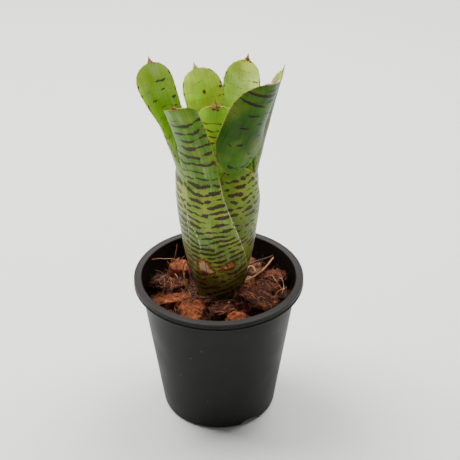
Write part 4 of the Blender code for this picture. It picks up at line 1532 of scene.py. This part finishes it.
# ---------------------------------------------------------------- floor, light and view
@dataclass
class Studio:
    """Seamless pale floor, soft light from both sides above and a view from above the front."""

    floor_size: float = 6.0
    floor_colour: str = "dddddb"
    surround: str = "e4e5e8"
    surround_strength: float = 0.18
    lights: tuple = (               # name, place, size, watts, tint
        ("upper_right", (0.50, 0.50, 1.35), 0.9, 33.0, (1.0, 0.995, 0.985)),
        ("upper_left", (-0.62, 0.38, 1.35), 0.9, 47.0, (1.0, 0.995, 0.985)),
        ("front", (0.3, -1.7, 1.1), 1.2, 3.2, (1.0, 1.0, 1.0)),
        ("back", (-0.2, 1.5, 1.0), 1.4, 2.5, (0.97, 0.985, 1.0)))
    lit: tuple = (0.0, 0.0, 0.12)   # what the lights point at
    target: tuple = (0.008, 0.0, 0.146)
    distance: float = 0.850
    elevation: float = 33.0
    lens: float = 96.18
    sensor: float = 36.0

    def build_floor(self) -> None:
        """Makes the floor, of matt paper."""
        made, add, shader = new_material("matt_backdrop_paper")
        add(shader, {"Base Color": self.floor_colour, "Roughness": 0.9, "Specular IOR Level": 0.1})
        half = self.floor_size / 2
        mesh = bpy.data.meshes.new("floor")
        mesh.from_pydata([(-half, -half, 0), (half, -half, 0), (half, half, 0), (-half, half, 0)], [],
                         [(0, 1, 2, 3)])
        mesh.materials.append(made)
        add_object("floor", mesh)

    def build_lights(self) -> None:
        """Makes an even surround and large soft lights."""
        world = bpy.data.worlds.new("surround")
        world.use_nodes = True
        add_node(world.node_tree, world.node_tree.nodes["Background"],
                 {"Color": self.surround, "Strength": self.surround_strength})
        bpy.context.scene.world = world
        for name, place, size, energy, tint in self.lights:
            light = bpy.data.lights.new(name, "AREA")
            light.shape, light.size, light.energy, light.color = "SQUARE", size, energy, tint
            obj = bpy.data.objects.new(name, light)
            bpy.context.scene.collection.objects.link(obj)
            obj.location = place
            way = Vector(self.lit) - Vector(place)
            obj.rotation_euler = way.to_track_quat("-Z", "Y").to_euler()

    def build_camera(self) -> None:
        """Makes the camera, level with the pot's axis and looking down at it."""
        lens = bpy.data.cameras.new("view")
        lens.lens, lens.sensor_width = self.lens, self.sensor
        camera = bpy.data.objects.new("view", lens)
        bpy.context.scene.collection.objects.link(camera)
        tilt = math.radians(self.elevation)
        back = Vector((0.0, -math.cos(tilt), math.sin(tilt)))
        camera.location = Vector(self.target) + back * self.distance
        camera.rotation_euler = (math.radians(90) - tilt, 0.0, 0.0)
        bpy.context.scene.camera = camera

    def build(self) -> None:
        """Makes the floor, the lights and the camera."""
        self.build_floor()
        self.build_lights()
        self.build_camera()


def main() -> None:
    """Builds every piece in order, then the studio."""
    logging.basicConfig(level=logging.INFO, format="%(name)s: %(message)s")
    pot = Pot()
    pot.build()
    bed = HuskBed()
    packed = bed.build(pot)
    chips = HuskChips().build()
    Rosette().build()
    Stem().build()
    joined = bmesh.new()
    for chip in chips:
        joined.from_mesh(chip.data)
    chip_surface = bpy.data.meshes.new("chip_surface")
    joined.to_mesh(chip_surface)
    joined.free()
    rust = CoirFibre("coir_fibre_rust", "421a0c", "985624")
    straw = CoirFibre("coir_fibre_straw", "7a4820", "c08e58")
    bark = CoirFibre("dark_bark_strip", "241008", "5a2c16", 0.8)
    peel = CoirFibre("tan_bark_strip", "6e3c1c", "b47a48", 0.8)
    strew = strewn_fibres()
    StrewnFibres("fibres_on_bed", rust, 3, 190000.0, 0.0090, 0.00016, 0.0014, 0.6, True).build(
        strew, packed.data)
    StrewnFibres("fibres_on_chips", rust, 5, 150000.0, 0.0065, 0.00012, 0.0016, 0.9, False).build(
        strew, chip_surface)
    StrewnFibres("pale_fibres", straw, 9, 30000.0, 0.0090, 0.00013, 0.0026, 0.9, True).build(
        strew, chip_surface)
    crumbs = strewn_crumbs()
    dark_crumb = CoirHusk("crumb_dark", "0c0402", "321409", "6c3416")
    orange_crumb = CoirHusk("crumb_orange", "30120a", "80401c", "b86c34")
    Crumbs("dark_crumbs", dark_crumb, 4, 60000.0, 0.0012).build(crumbs, packed.data)
    Crumbs("orange_crumbs", orange_crumb, 8, 5000.0, 0.0010).build(crumbs, chip_surface)
    finished(packed, Slot.HUSK_BED, "husk_bed")
    strands = strands_tree()
    for strand in (Strands("straw_strands", straw, 2, 0.00026, 0.0016, STRAW_STRANDS),
                   Strands("tan_strips", peel, 5, 0.00070, 0.0018, TAN_STRIPS),
                   Strands("dry_slivers", straw, 3, 0.00060, 0.0006, DRY_SLIVERS),
                   Strands("dark_strips", bark, 7, 0.00075, 0.0026, DARK_STRIPS)):
        strand.build(strands)
    Studio().build()


if __name__ == "__main__":
    main()
